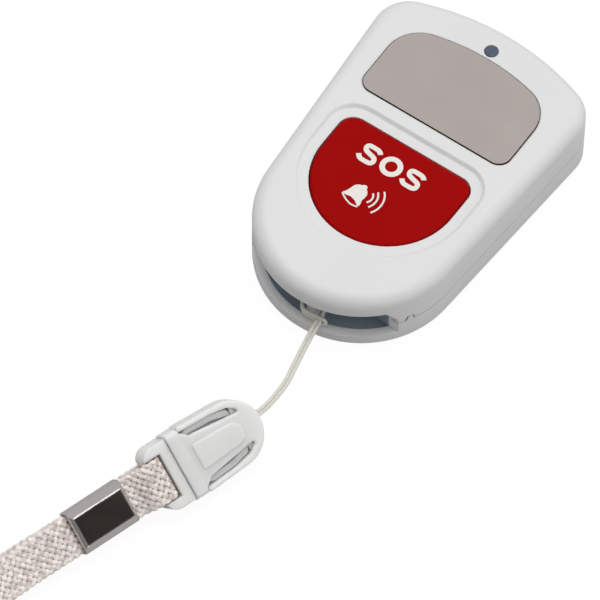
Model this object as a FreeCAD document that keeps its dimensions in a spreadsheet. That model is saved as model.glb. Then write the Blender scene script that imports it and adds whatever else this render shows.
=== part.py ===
import FreeCAD, Part
import math
import os
import Sketcher

# Pendant alarm button: a palm sized two-shell case with one large press button, hung on a
# string with a release buckle, a crimped clamp and a woven strap.
# Frame: millimetres, +Z out of the front face, +Y towards the lens end, origin at the centre
# of the rear face, on which the case lies.

os.makedirs("parts", exist_ok=True)
doc = FreeCAD.newDocument("panic_button")

SIZES = {
    # case outline
    "body_length": 62.7,
    "end_radius": 18.4,
    "top_radius": 47.6,
    "corner_radius": 6.75,
    "side_taper": 3.95,
    # case section
    "body_height": 13.1,
    "parting_height": 4.9,
    "parting_gap": 0.12,
    "wall": 1.6,
    "roof": 1.8,
    "rear_floor": 1.5,
    "front_round": 2.5,
    "rear_round": 0.5,
    "tongue_wall": 0.7,
    "tongue_height": 0.9,
    "fit": 0.1,
    # cord slot
    "slot_half": 15.5,
    "slot_slope": 1.9,
    "slot_top": 8.9,
    "rim_height": 2.4,
    "slot_depth": 7.75,
    "liner_wall": 0.8,
    "liner_floor": 0.6,
    "post_offset": 0.9,
    "post_inset": 3.2,
    "post_diameter": 2.4,
    "ear_start": 15.75,
    "ear_width": 0.7,
    "ear_rise": 1.2,
    "ear_slope": 0.2,
    "ear_depth": 11.75,
    # alarm button
    "button_half": 13.0,
    "button_centre": 5.45,
    "button_top_edge": 2.3,
    "button_corner": 2.8,
    "button_sink": 0.15,
    "button_round": 0.5,
    "button_wall": 1.2,
    "button_gap": 0.2,
    "button_travel": 0.5,
    "flange_width": 0.9,
    "flange_height": 0.7,
    "flange_gap": 0.15,
    "stem_diameter": 4.0,
    "surround_width": 2.1,
    "surround_depth": 0.6,
    "surround_tilt": 1.2,
    "surround_draft": 40.0,
    # face plate
    "plate_half": 14.85,
    "plate_bottom": 7.55,
    "plate_margin": 7.0,
    "plate_corner": 2.3,
    "plate_shoulder": 6.5,
    "plate_thickness": 0.6,
    "plate_proud": 0.2,
    "plate_gap": 0.2,
    # status light
    "lens_inset": 5.15,
    "lens_diameter": 2.4,
    "lens_flange": 3.6,
    "lens_flange_height": 0.8,
    "lens_stem": 1.8,
    "lens_crown": 0.15,
    "lens_round": 0.3,
    "led_length": 1.6,
    "led_width": 0.9,
    "led_height": 0.8,
    "led_gap": 0.2,
    # circuit board and what it carries
    "board_height": 5.6,
    "board_thickness": 1.0,
    "board_gap": 0.5,
    "board_back_gap": 0.3,
    "switch_side": 6.0,
    "switch_height": 3.1,
    "switch_place": 6.2,
    "plunger_diameter": 3.4,
    "plunger_rise": 0.6,
    "plunger_depth": 1.2,
    "plunger_gap": 0.15,
    "chip_side": 5.0,
    "chip_height": 0.9,
    "chip_x": 6.5,
    "chip_y": 13.0,
    "crystal_length": 5.0,
    "crystal_width": 3.2,
    "crystal_height": 1.2,
    "crystal_x": 6.5,
    "crystal_y": 7.2,
    "antenna_gap": 1.1,
    "antenna_wire": 0.6,
    "antenna_pitch": 1.4,
    "antenna_length": 11.2,
    "antenna_x": 11.5,
    "antenna_y": 4.0,
    # battery
    "cell_diameter": 20.0,
    "cell_height": 3.2,
    "cell_y": 9.6,
    "cell_bevel": 0.3,
    "cell_rim": 1.2,
    "contact_gap": 0.3,
    "holder_wall": 1.2,
    "holder_gap": 0.15,
    "holder_height": 2.9,
    "holder_mouth": 8.0,
    "clip_width": 5.0,
    "clip_thickness": 0.3,
    "clip_gap": 0.3,
    # screws
    "boss_diameter": 4.4,
    "top_boss_x": 16.5,
    "top_boss_inset": 11.85,
    "end_boss_x": 14.3,
    "end_boss_inset": 17.75,
    "screw_diameter": 2.0,
    "screw_length": 7.4,
    "screw_head": 3.2,
    "screw_head_height": 1.3,
    "screw_point": 0.8,
    "cross_length": 2.0,
    "cross_slot": 0.5,
    "cross_depth": 0.65,
    "screw_recess": 1.9,
    "screw_gap": 0.2,
    "pilot_gap": 0.02,
    # lanyard line: where the buckle's tip lies past the case, how high it is held by the edge
    # it leans on, and the line's lean from -Y and roll about itself
    "tip_x": 4.6,
    "tip_reach": 20.43,
    "tip_height": 3.6,
    "strap_lean": 17.9,
    "strap_roll": 38.5,
    # buckle socket
    "socket_tip": 5.8,
    "socket_taper": 3.0,
    "socket_length": 14.2,
    "socket_height": 4.0,
    "socket_round": 0.4,
    "collar_length": 2.2,
    "collar_half": 6.15,
    "collar_lip": 0.2,
    "collar_round": 1.0,
    "rail_width": 0.9,
    "rail_round": 0.4,
    "tongue_half": 4.0,
    "window_tip": 2.8,
    "window_tip_width": 0.55,
    "window_start": 3.0,
    "window_bend": 4.5,
    "window_bend_half": 4.4,
    "window_bulge": 7.6,
    "window_round": 0.2,
    "release_gap": 0.35,
    "release_flare": 1.8,
    "panel_rise": 0.3,
    "panel_round": 0.25,
    "panel_inset": 3.75,
    "panel_end": 13.0,
    "cavity_half": 4.85,
    "cavity_height": 2.4,
    "cavity_start": 3.9,
    "cavity_tip": 3.3,
    "string_bore": 1.3,
    # buckle plug
    "plug_gap": 0.25,
    "plug_length": 4.95,
    "plug_half": 5.8,
    "plug_height": 4.0,
    "plug_corner": 2.2,
    "strap_window": 1.2,
    "strap_window_half": 4.05,
    "strap_window_start": 1.75,
    "bar_height": 1.9,
    "bar_round": 0.65,
    "arm_length": 12.5,
    "arm_width": 1.0,
    "arm_root": 4.6,
    "arm_gap": 0.15,
    "arm_height": 2.1,
    "guide_half": 1.1,
    "guide_length": 11.0,
    # clamp
    "clamp_start": 26.5,
    "clamp_length": 10.8,
    "clamp_half": 3.9,
    "clamp_top_half": 2.7,
    "clamp_height": 3.6,
    "clamp_shoulder": 2.45,
    "clamp_wall": 0.35,
    "clamp_bevel": 0.5,
    # woven strap
    "strap_width": 7.2,
    "strap_thickness": 0.9,
    "strap_seam": 0.1,
    # string
    "string_diameter": 0.95,
}

sheet = doc.addObject("Spreadsheet::Sheet", "dims")
for row, (alias, number) in enumerate(SIZES.items(), start=1):
    sheet.set("A%d" % row, alias)
    sheet.set("B%d" % row, str(number))
    sheet.setAlias("B%d" % row, alias)
doc.recompute()


def value(expression):
    """The number that an expression on the sheet gives, such as "dims.wall * 2"."""
    return float(sheet.evalExpression(expression.replace("dims.", "")))


def rad(alias):
    return math.radians(SIZES[alias])


# Derived places, each a formula on the sheet's own values
ROOF_Z = "dims.body_height - dims.roof"
BOARD_TOP = "dims.board_height + dims.board_thickness"
PLUNGER_TOP = "dims.board_height + dims.board_thickness + dims.switch_height + dims.plunger_rise"
FLANGE_TOP = "dims.body_height - dims.roof - dims.flange_gap"
SOCKET_END = "dims.socket_length + dims.collar_length"
PLUG_START = "dims.socket_length + dims.collar_length + dims.plug_gap"
END_CENTRE_Y = "-(dims.body_length / 2 - dims.end_radius)"
TOP_CENTRE_Y = "dims.body_length / 2 - dims.top_radius"
BUTTON_TOP = "dims.body_height - dims.button_sink"
LENS_Y = "dims.body_length / 2 - dims.lens_inset"
SLOT_BACK = "dims.body_length / 2 - dims.slot_depth"
EAR_BACK = "dims.body_length / 2 - dims.ear_depth"
TOP_BOSS_Y = "dims.body_length / 2 - dims.top_boss_inset"
END_BOSS_Y = "dims.end_boss_inset - dims.body_length / 2"
TIP_Y = "-(dims.body_length / 2 + dims.tip_reach)"
ANTENNA_RADIUS = ("(dims.body_height - dims.roof - dims.antenna_gap - dims.board_height"
                  " - dims.board_thickness - dims.antenna_wire) / 2")
PIECES = []


# Helpers for bodies, sketches and features

def new_body(label):
    body = doc.addObject("PartDesign::Body", label)
    body.Label = label
    PIECES.append(body)
    return body


def new_sketch(body, name, role="XY_Plane", offset="0"):
    """A sketch on one of the body's own origin planes, moved along its normal by an offset."""
    sketch = body.newObject("Sketcher::SketchObject", name)
    plane = next(item for item in body.Origin.OriginFeatures if item.Role == role)
    sketch.AttachmentSupport = [(plane, "")]
    sketch.MapMode = "FlatFace"
    if offset != "0":
        sketch.setExpression("AttachmentOffset.Base.z", offset)
    return sketch


def bind(sketch, expression, kind, *where):
    """Adds one dimension to a sketch and ties it to the sheet."""
    number = value(expression)
    if kind == "Angle":
        number = math.radians(number)
    index = sketch.addConstraint(Sketcher.Constraint(kind, *where, number))
    name = "size_%d" % index
    sketch.renameConstraint(index, name)
    sketch.setExpression("Constraints." + name, expression)


def place_point(sketch, geometry, point, x, y):
    bind(sketch, x, "DistanceX", -1, 1, geometry, point)
    bind(sketch, y, "DistanceY", -1, 1, geometry, point)


def polygon(sketch, corners):
    """A closed polygon whose corners are pairs of expressions."""
    points = [FreeCAD.Vector(value(x), value(y), 0) for x, y in corners]
    first = sketch.GeometryCount
    count = len(points)
    for index, point in enumerate(points):
        sketch.addGeometry(Part.LineSegment(point, points[(index + 1) % count]), False)
    for index, (x, y) in enumerate(corners):
        following = first + (index + 1) % count
        sketch.addConstraint(Sketcher.Constraint("Coincident", first + index, 2, following, 1))
        place_point(sketch, first + index, 1, x, y)


def rectangle(sketch, x0, x1, y0, y1):
    polygon(sketch, [(x0, y0), (x1, y0), (x1, y1), (x0, y1)])


def circle(sketch, x, y, diameter):
    centre = FreeCAD.Vector(value(x), value(y), 0)
    up = FreeCAD.Vector(0, 0, 1)
    index = sketch.addGeometry(Part.Circle(centre, up, value(diameter) / 2), False)
    place_point(sketch, index, 3, x, y)
    bind(sketch, diameter, "Diameter", index)


def arc(sketch, x, y, radius, start, end):
    """An anticlockwise arc, angles in radians, as a first position for the solver."""
    ring = Part.Circle(FreeCAD.Vector(x, y, 0), FreeCAD.Vector(0, 0, 1), radius)
    return sketch.addGeometry(Part.ArcOfCircle(ring, start, end), False)


def line(sketch, start, end):
    return sketch.addGeometry(
        Part.LineSegment(FreeCAD.Vector(*start, 0), FreeCAD.Vector(*end, 0)), False)


def join(sketch, kind, pairs):
    for first, second in pairs:
        sketch.addConstraint(Sketcher.Constraint(kind, first, 2, second, 1))


def pad(body, sketch, length, midplane=False, reverse=False):
    feature = body.newObject("PartDesign::Pad", sketch.Name + "_pad")
    feature.Profile = sketch
    feature.setExpression("Length", length)
    feature.Midplane = midplane
    feature.Reversed = reverse
    doc.recompute()
    return feature


def pocket(body, sketch, length, reverse=False, midplane=False):
    """Cuts against the sketch's normal, or along it when reversed, and proves that it cut."""
    before = body.Shape.Volume
    feature = body.newObject("PartDesign::Pocket", sketch.Name + "_pocket")
    feature.Profile = sketch
    feature.setExpression("Length", length)
    feature.Reversed = reverse
    feature.Midplane = midplane
    doc.recompute()
    if body.Shape.Volume >= before:
        raise RuntimeError(feature.Name + " cut nothing")
    return feature


def dress_edges(body, kind, name, prop, size, chosen):
    """Fillets or chamfers the edges of the tip for which the function chosen is true."""
    tip = body.Tip
    names = ["Edge%d" % number for number, edge in enumerate(tip.Shape.Edges, start=1)
             if chosen(edge.BoundBox)]
    feature = body.newObject("PartDesign::" + kind, name)
    feature.Base = (tip, names)
    feature.setExpression(prop, size)
    doc.recompute()
    return feature


def round_edges(body, name, radius, chosen):
    return dress_edges(body, "Fillet", name, "Radius", radius, chosen)


def flat_at(height):
    """Chooses edges that lie in the plane at one height."""
    level = value(height)
    return lambda box: abs(box.ZMin - level) < 0.001 and abs(box.ZMax - level) < 0.001


# Outlines that several pieces share

def case_outline(sketch, inset="0"):
    """The case's plan: round end arc, tapered sides, corner arcs and a shallow top arc."""
    inward = value(inset)
    taper = rad("side_taper")
    end_y = value(END_CENTRE_Y)
    top_y = value(TOP_CENTRE_Y)
    end_r = SIZES["end_radius"]
    corner_r = SIZES["corner_radius"]
    out = (math.cos(taper), -math.sin(taper))
    along = (math.sin(taper), math.cos(taper))
    base = ((end_r - corner_r) * out[0], end_y + (end_r - corner_r) * out[1])
    reach = SIZES["top_radius"] - corner_r
    half = base[0] * along[0] + (base[1] - top_y) * along[1]
    step = -half + math.sqrt(half ** 2 - base[0] ** 2 - (base[1] - top_y) ** 2 + reach ** 2)
    corner = (base[0] + step * along[0], base[1] + step * along[1])
    turn = math.atan2(corner[1] - top_y, corner[0])
    low = ((end_r - inward) * out[0], end_y + (end_r - inward) * out[1])
    high = (corner[0] + (corner_r - inward) * out[0], corner[1] + (corner_r - inward) * out[1])
    bottom = arc(sketch, 0, end_y, end_r - inward, math.pi + taper, 2 * math.pi - taper)
    right = line(sketch, low, high)
    corner_right = arc(sketch, corner[0], corner[1], corner_r - inward, -taper, turn)
    top = arc(sketch, 0, top_y, SIZES["top_radius"] - inward, turn, math.pi - turn)
    corner_left = arc(sketch, -corner[0], corner[1], corner_r - inward,
                      math.pi - turn, math.pi + taper)
    left = line(sketch, (-high[0], high[1]), (-low[0], low[1]))
    join(sketch, "Tangent", [(bottom, right), (right, corner_right), (corner_right, top),
                             (top, corner_left), (corner_left, left), (left, bottom)])
    sketch.addConstraint(Sketcher.Constraint("PointOnObject", bottom, 3, -2))
    sketch.addConstraint(Sketcher.Constraint("PointOnObject", top, 3, -2))
    sketch.addConstraint(Sketcher.Constraint("Equal", corner_right, corner_left))
    sketch.addConstraint(Sketcher.Constraint("Equal", right, left))
    bind(sketch, "dims.end_radius - (%s)" % inset, "Radius", bottom)
    bind(sketch, "dims.top_radius - (%s)" % inset, "Radius", top)
    bind(sketch, "dims.corner_radius - (%s)" % inset, "Radius", corner_right)
    bind(sketch, END_CENTRE_Y, "DistanceY", -1, 1, bottom, 3)
    bind(sketch, TOP_CENTRE_Y, "DistanceY", -1, 1, top, 3)
    bind(sketch, "90 - dims.side_taper", "Angle", right)


def button_outline(sketch, offset="0"):
    """The button's plan: a straight top edge with round corners above a half circle."""
    grow = value(offset)
    centre_y = -SIZES["button_centre"]
    half = SIZES["button_half"]
    corner_r = SIZES["button_corner"]
    corner_x = half - corner_r
    corner_y = SIZES["button_top_edge"] - corner_r
    reach = half + grow
    top_y = SIZES["button_top_edge"] + grow
    bowl = arc(sketch, 0, centre_y, reach, math.pi, 2 * math.pi)
    right = line(sketch, (reach, centre_y), (reach, corner_y))
    corner_right = arc(sketch, corner_x, corner_y, corner_r + grow, 0, math.pi / 2)
    top = line(sketch, (corner_x, top_y), (-corner_x, top_y))
    corner_left = arc(sketch, -corner_x, corner_y, corner_r + grow, math.pi / 2, math.pi)
    left = line(sketch, (-reach, corner_y), (-reach, centre_y))
    join(sketch, "Tangent", [(bowl, right), (right, corner_right), (corner_right, top),
                             (top, corner_left), (corner_left, left), (left, bowl)])
    sketch.addConstraint(Sketcher.Constraint("Vertical", right))
    sketch.addConstraint(Sketcher.Constraint("Vertical", left))
    sketch.addConstraint(Sketcher.Constraint("Equal", corner_right, corner_left))
    sketch.addConstraint(Sketcher.Constraint("PointOnObject", bowl, 3, -2))
    bind(sketch, "-dims.button_centre", "DistanceY", -1, 1, bowl, 3)
    bind(sketch, "dims.button_half + (%s)" % offset, "Radius", bowl)
    bind(sketch, "dims.button_corner + (%s)" % offset, "Radius", corner_right)
    bind(sketch, "dims.button_top_edge + (%s)" % offset, "DistanceY", -1, 1, top, 1)


def plate_outline(sketch, offset="0"):
    """The face plate's plan: a flat lower edge and a top edge concentric with the case's."""
    grow = value(offset)
    top_y = value(TOP_CENTRE_Y)
    top_r = SIZES["top_radius"] - SIZES["plate_margin"]
    half = SIZES["plate_half"]
    low_r = SIZES["plate_corner"]
    high_r = SIZES["plate_shoulder"]
    bottom_y = SIZES["plate_bottom"]
    high_x = half - high_r
    high_y = top_y + math.sqrt((top_r - high_r) ** 2 - high_x ** 2)
    low_x = half - low_r
    low_y = bottom_y + low_r
    turn = math.atan2(high_y - top_y, high_x)
    floor = line(sketch, (-low_x, bottom_y - grow), (low_x, bottom_y - grow))
    low_right = arc(sketch, low_x, low_y, low_r + grow, -math.pi / 2, 0)
    right = line(sketch, (half + grow, low_y), (half + grow, high_y))
    high_right = arc(sketch, high_x, high_y, high_r + grow, 0, turn)
    top = arc(sketch, 0, top_y, top_r + grow, turn, math.pi - turn)
    high_left = arc(sketch, -high_x, high_y, high_r + grow, math.pi - turn, math.pi)
    left = line(sketch, (-half - grow, high_y), (-half - grow, low_y))
    low_left = arc(sketch, -low_x, low_y, low_r + grow, math.pi, 1.5 * math.pi)
    join(sketch, "Tangent", [(floor, low_right), (low_right, right), (right, high_right),
                             (high_right, top), (top, high_left), (high_left, left),
                             (left, low_left), (low_left, floor)])
    sketch.addConstraint(Sketcher.Constraint("Horizontal", floor))
    sketch.addConstraint(Sketcher.Constraint("Vertical", right))
    sketch.addConstraint(Sketcher.Constraint("Vertical", left))
    sketch.addConstraint(Sketcher.Constraint("Equal", low_right, low_left))
    sketch.addConstraint(Sketcher.Constraint("Equal", high_right, high_left))
    sketch.addConstraint(Sketcher.Constraint("PointOnObject", top, 3, -2))
    bind(sketch, "dims.plate_half + (%s)" % offset, "DistanceX", -1, 1, right, 1)
    bind(sketch, "dims.plate_bottom - (%s)" % offset, "DistanceY", -1, 1, floor, 1)
    bind(sketch, "dims.plate_corner + (%s)" % offset, "Radius", low_right)
    bind(sketch, "dims.plate_shoulder + (%s)" % offset, "Radius", high_right)
    bind(sketch, "dims.top_radius - dims.plate_margin + (%s)" % offset, "Radius", top)
    bind(sketch, TOP_CENTRE_Y, "DistanceY", -1, 1, top, 3)


def boss_circles(sketch, diameter):
    """One circle at each of the four screws."""
    for side in ("", "-"):
        circle(sketch, side + "dims.top_boss_x", TOP_BOSS_Y, diameter)
        circle(sketch, side + "dims.end_boss_x", END_BOSS_Y, diameter)


def post_circle(sketch, diameter):
    circle(sketch, "dims.post_offset", "-(dims.body_length / 2 - dims.post_inset)", diameter)


def end_segment(sketch, radius, chord_y):
    """The round end's plan below a straight chord."""
    centre_y = value(END_CENTRE_Y)
    reach = value(radius)
    level = value(chord_y)
    half = math.sqrt(reach ** 2 - (level - centre_y) ** 2)
    turn = math.atan2(level - centre_y, half)
    bowl = arc(sketch, 0, centre_y, reach, math.pi - turn, 2 * math.pi + turn)
    chord = line(sketch, (half, level), (-half, level))
    join(sketch, "Coincident", [(bowl, chord), (chord, bowl)])
    sketch.addConstraint(Sketcher.Constraint("Horizontal", chord))
    sketch.addConstraint(Sketcher.Constraint("PointOnObject", bowl, 3, -2))
    bind(sketch, END_CENTRE_Y, "DistanceY", -1, 1, bowl, 3)
    bind(sketch, radius, "Radius", bowl)
    bind(sketch, chord_y, "DistanceY", -1, 1, chord, 1)


def revolve(body, sketch):
    feature = body.newObject("PartDesign::Revolution", sketch.Name + "_turn")
    feature.Profile = sketch
    feature.ReferenceAxis = (sketch, ["V_Axis"])
    feature.Angle = 360
    doc.recompute()
    return feature


# Case

def ear_corners(side, grow):
    """The small tooth beside each slot end, on the rear cover's edge, seen from the end."""
    base = "dims.parting_height"
    start = "dims.ear_start - (%s)" % grow
    end = "dims.ear_start + dims.ear_width + (%s)" % grow
    top = base + " + dims.ear_rise + (%s)" % grow
    corners = [(start, base), (end, base),
               (end + " - dims.ear_slope", top), (start + " + dims.ear_slope", top)]
    if side < 0:
        corners = [("-(%s)" % x, z) for x, z in reversed(corners)]
    return corners


def make_front_cover():
    body = new_body("front_cover")
    outer = new_sketch(body, "front_outline", offset="dims.parting_height + dims.parting_gap")
    case_outline(outer)
    pad(body, outer, "dims.body_height - dims.parting_height - dims.parting_gap")
    round_edges(body, "front_edge", "dims.front_round", flat_at("dims.body_height"))
    hollow = new_sketch(body, "front_hollow", offset="dims.parting_height")
    case_outline(hollow, "dims.wall")
    pocket(body, hollow, ROOF_Z + " - dims.parting_height", reverse=True)
    rebate = new_sketch(body, "front_rebate", offset="dims.parting_height")
    case_outline(rebate, "dims.wall - dims.tongue_wall - dims.fit")
    pocket(body, rebate, "dims.tongue_height + dims.fit", reverse=True)

    bosses = new_sketch(body, "front_bosses", offset=BOARD_TOP)
    boss_circles(bosses, "dims.boss_diameter")
    pad(body, bosses, "%s - (%s) + dims.fit" % (ROOF_Z, BOARD_TOP))
    pilots = new_sketch(body, "front_pilots", offset=BOARD_TOP)
    boss_circles(pilots, "dims.screw_diameter + dims.pilot_gap")
    pocket(body, pilots, "dims.screw_recess + dims.screw_length - (%s) + dims.fit" % BOARD_TOP,
           reverse=True)

    surround = new_sketch(body, "button_surround")
    tilt = FreeCAD.Rotation(FreeCAD.Vector(1, 0, 0), -SIZES["surround_tilt"])
    surround.AttachmentOffset = FreeCAD.Placement(FreeCAD.Vector(0, 0, 0), tilt)
    surround.setExpression("AttachmentOffset.Base.z",
                           "dims.body_height - dims.surround_depth + (dims.button_top_edge"
                           " + dims.surround_width) * tan(dims.surround_tilt * 1 deg)")
    button_outline(surround, "dims.surround_width")
    dish = pocket(body, surround, "2 * dims.surround_depth", reverse=True)
    dish.setExpression("TaperAngle", "dims.surround_draft")
    doc.recompute()
    opening = new_sketch(body, "button_opening", offset=ROOF_Z + " - dims.fit")
    button_outline(opening, "dims.button_gap")
    pocket(body, opening, "dims.roof + 2 * dims.fit", reverse=True)

    seat = new_sketch(body, "plate_seat",
                      offset="dims.body_height + dims.plate_proud - dims.plate_thickness")
    plate_outline(seat, "dims.plate_gap")
    pocket(body, seat, "dims.plate_thickness", reverse=True)
    lens = new_sketch(body, "lens_hole", offset=ROOF_Z + " - dims.fit")
    circle(lens, "0", LENS_Y, "dims.lens_diameter + dims.fit")
    pocket(body, lens, "dims.roof + 2 * dims.fit", reverse=True)

    mouth = new_sketch(body, "slot_mouth", "XZ_Plane", SLOT_BACK)
    low = "dims.parting_height - dims.fit"
    polygon(mouth, [("-dims.slot_half", low), ("dims.slot_half", low),
                    ("dims.slot_half - dims.slot_slope", "dims.slot_top"),
                    ("dims.slot_slope - dims.slot_half", "dims.slot_top")])
    pocket(body, mouth, "dims.slot_depth + dims.wall", reverse=True)
    notches = new_sketch(body, "ear_notches", "XZ_Plane", EAR_BACK)
    for side in (1, -1):
        polygon(notches, ear_corners(side, "dims.fit"))
    pocket(body, notches, "dims.ear_depth - dims.slot_depth + dims.wall", reverse=True)


def make_rear_cover():
    body = new_body("rear_cover")
    outer = new_sketch(body, "rear_outline")
    case_outline(outer)
    pad(body, outer, "dims.parting_height + dims.ear_rise")
    above = new_sketch(body, "rear_parting", offset="dims.parting_height")
    rectangle(above, "-dims.body_length", "dims.body_length", "-(%s)" % EAR_BACK,
              "dims.body_length")
    pocket(body, above, "2 * dims.ear_rise", reverse=True)
    around = new_sketch(body, "rear_ears", "XZ_Plane", EAR_BACK)
    right = ear_corners(1, "0")
    left = ear_corners(-1, "0")
    ceiling = "dims.parting_height + 2 * dims.ear_rise"
    polygon(around, [left[3], right[0], right[3], (right[3][0], ceiling),
                     (left[0][0], ceiling), left[0]])
    polygon(around, [right[1], ("dims.body_length", "dims.parting_height"),
                     ("dims.body_length", ceiling), (right[2][0], ceiling), right[2]])
    polygon(around, [("-dims.body_length", "dims.parting_height"), left[2], left[1],
                     (left[1][0], ceiling), ("-dims.body_length", ceiling)])
    pocket(body, around, "dims.body_length", reverse=True)
    round_edges(body, "rear_edge", "dims.rear_round", flat_at("0"))

    hollow = new_sketch(body, "rear_hollow", offset="dims.rear_floor")
    case_outline(hollow, "dims.wall")
    pocket(body, hollow, "dims.parting_height + dims.ear_rise", reverse=True)
    tongue = new_sketch(body, "rear_tongue", offset="dims.parting_height - dims.tongue_height")
    case_outline(tongue, "dims.wall - dims.tongue_wall")
    case_outline(tongue, "dims.wall")
    pad(body, tongue, "2 * dims.tongue_height")
    rim = new_sketch(body, "slot_rim", "XZ_Plane", SLOT_BACK)
    rectangle(rim, "-dims.slot_half", "dims.slot_half", "dims.rim_height",
              "dims.parting_height + dims.ear_rise + dims.tongue_height")
    pocket(body, rim, "dims.slot_depth + dims.wall", reverse=True)

    bosses = new_sketch(body, "rear_bosses", offset="dims.rear_floor - dims.fit")
    boss_circles(bosses, "dims.boss_diameter")
    pad(body, bosses, "dims.board_height - dims.rear_floor + dims.fit")
    recess = new_sketch(body, "screw_recesses")
    boss_circles(recess, "dims.screw_head + 2 * dims.screw_gap")
    pocket(body, recess, "dims.screw_recess", reverse=True)
    holes = new_sketch(body, "screw_holes")
    boss_circles(holes, "dims.screw_diameter + 2 * dims.screw_gap")
    pocket(body, holes, "dims.board_height + dims.fit", reverse=True)
    post = new_sketch(body, "cord_post", offset="dims.rear_floor - dims.fit")
    post_circle(post, "dims.post_diameter")
    pad(body, post, "%s - dims.rear_floor" % ROOF_Z)


def make_slot_liner():
    body = new_body("slot_liner")
    block = new_sketch(body, "liner_block", offset="dims.rear_floor")
    end_segment(block, "dims.end_radius - dims.wall - dims.fit",
                "dims.liner_wall - (%s)" % SLOT_BACK)
    pad(body, block, "%s - dims.rear_floor - dims.fit" % ROOF_Z)
    room = new_sketch(body, "liner_room", offset="dims.rear_floor + dims.liner_floor")
    end_segment(room, "dims.end_radius + dims.wall", "-(%s)" % SLOT_BACK)
    pocket(body, room, "dims.body_height", reverse=True)
    hole = new_sketch(body, "liner_hole")
    post_circle(hole, "dims.post_diameter + 2 * dims.fit")
    pocket(body, hole, "dims.rear_floor + 2 * dims.liner_floor", reverse=True)


def make_cover_screws():
    """Four pan head screws, driven from the rear, as one group."""
    screws = []
    for name, x, y in (("top_right", "dims.top_boss_x", TOP_BOSS_Y),
                       ("top_left", "-dims.top_boss_x", TOP_BOSS_Y),
                       ("end_right", "dims.end_boss_x", END_BOSS_Y),
                       ("end_left", "-dims.end_boss_x", END_BOSS_Y)):
        body = doc.addObject("PartDesign::Body", "screw_" + name)
        head_z = "dims.screw_recess - dims.screw_head_height"
        profile = new_sketch(body, "profile_" + name, "XZ_Plane")
        tip = "dims.screw_recess + dims.screw_length"
        polygon(profile, [("0", head_z), ("dims.screw_head / 2", head_z),
                          ("dims.screw_head / 2", "dims.screw_recess"),
                          ("dims.screw_diameter / 2", "dims.screw_recess"),
                          ("dims.screw_diameter / 2", tip + " - dims.screw_diameter / 2"),
                          ("dims.screw_point / 2", tip), ("0", tip)])
        revolve(body, profile)
        cross = new_sketch(body, "cross_" + name, offset=head_z)
        wide = "dims.cross_length / 2"
        thin = "dims.cross_slot / 2"
        polygon(cross, [("-" + wide, "-" + thin), ("-" + thin, "-" + thin),
                        ("-" + thin, "-" + wide), (thin, "-" + wide), (thin, "-" + thin),
                        (wide, "-" + thin), (wide, thin), (thin, thin), (thin, wide),
                        ("-" + thin, wide), ("-" + thin, thin), ("-" + wide, thin)])
        pocket(body, cross, "dims.cross_depth", reverse=True)
        body.setExpression("Placement.Base.x", x)
        body.setExpression("Placement.Base.y", y)
        screws.append(body)
    group = doc.addObject("Part::Compound", "cover_screws")
    group.Label = "cover_screws"
    group.Links = screws
    PIECES.append(group)


# Alarm button, face plate and status light

def make_alarm_button():
    body = new_body("alarm_button")
    skirt_z = FLANGE_TOP + " - dims.flange_height"
    cap = new_sketch(body, "cap_outline", offset=skirt_z)
    button_outline(cap)
    pad(body, cap, BUTTON_TOP + " - (%s)" % skirt_z)
    round_edges(body, "cap_edge", "dims.button_round", flat_at(BUTTON_TOP))
    flange = new_sketch(body, "cap_flange", offset=skirt_z)
    button_outline(flange, "dims.flange_width")
    pad(body, flange, "dims.flange_height")
    hollow = new_sketch(body, "cap_hollow", offset=skirt_z)
    button_outline(hollow, "-dims.button_wall")
    pocket(body, hollow, BUTTON_TOP + " - dims.button_wall - (%s)" % skirt_z, reverse=True)
    stem = new_sketch(body, "cap_stem", offset=PLUNGER_TOP)
    circle(stem, "0", "-dims.switch_place", "dims.stem_diameter")
    pad(body, stem, BUTTON_TOP + " - dims.button_wall - (%s) + dims.fit" % PLUNGER_TOP)


def make_face_plate():
    body = new_body("face_plate")
    sheet_face = new_sketch(body, "plate_face",
                            offset="dims.body_height + dims.plate_proud - dims.plate_thickness")
    plate_outline(sheet_face)
    pad(body, sheet_face, "dims.plate_thickness")


def make_status_lens():
    body = new_body("status_lens")
    body.setExpression("Placement.Base.y", LENS_Y)
    foot = BOARD_TOP + " + dims.led_height + dims.led_gap"
    shelf = ROOF_Z + " - dims.lens_flange_height"
    crown = "dims.body_height + dims.lens_crown"
    profile = new_sketch(body, "lens_profile", "XZ_Plane")
    polygon(profile, [("0", foot), ("dims.lens_stem / 2", foot), ("dims.lens_stem / 2", shelf),
                      ("dims.lens_flange / 2", shelf), ("dims.lens_flange / 2", ROOF_Z),
                      ("dims.lens_diameter / 2", ROOF_Z), ("dims.lens_diameter / 2", crown),
                      ("0", crown)])
    revolve(body, profile)
    round_edges(body, "lens_edge", "dims.lens_round", flat_at(crown))


# Circuit board and what it carries

def new_box(label, length, width, height, x, y, z):
    """A plain block centred at x, y and standing on z."""
    block = doc.addObject("Part::Box", label)
    block.Label = label
    block.setExpression("Length", length)
    block.setExpression("Width", width)
    block.setExpression("Height", height)
    block.setExpression("Placement.Base.x", "%s - (%s) / 2" % (x, length))
    block.setExpression("Placement.Base.y", "%s - (%s) / 2" % (y, width))
    block.setExpression("Placement.Base.z", z)
    return block


def new_cylinder(label, diameter, height, x, y, z):
    rod = doc.addObject("Part::Cylinder", label)
    rod.Label = label
    rod.setExpression("Radius", "(%s) / 2" % diameter)
    rod.setExpression("Height", height)
    rod.setExpression("Placement.Base.x", x)
    rod.setExpression("Placement.Base.y", y)
    rod.setExpression("Placement.Base.z", z)
    return rod


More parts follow.
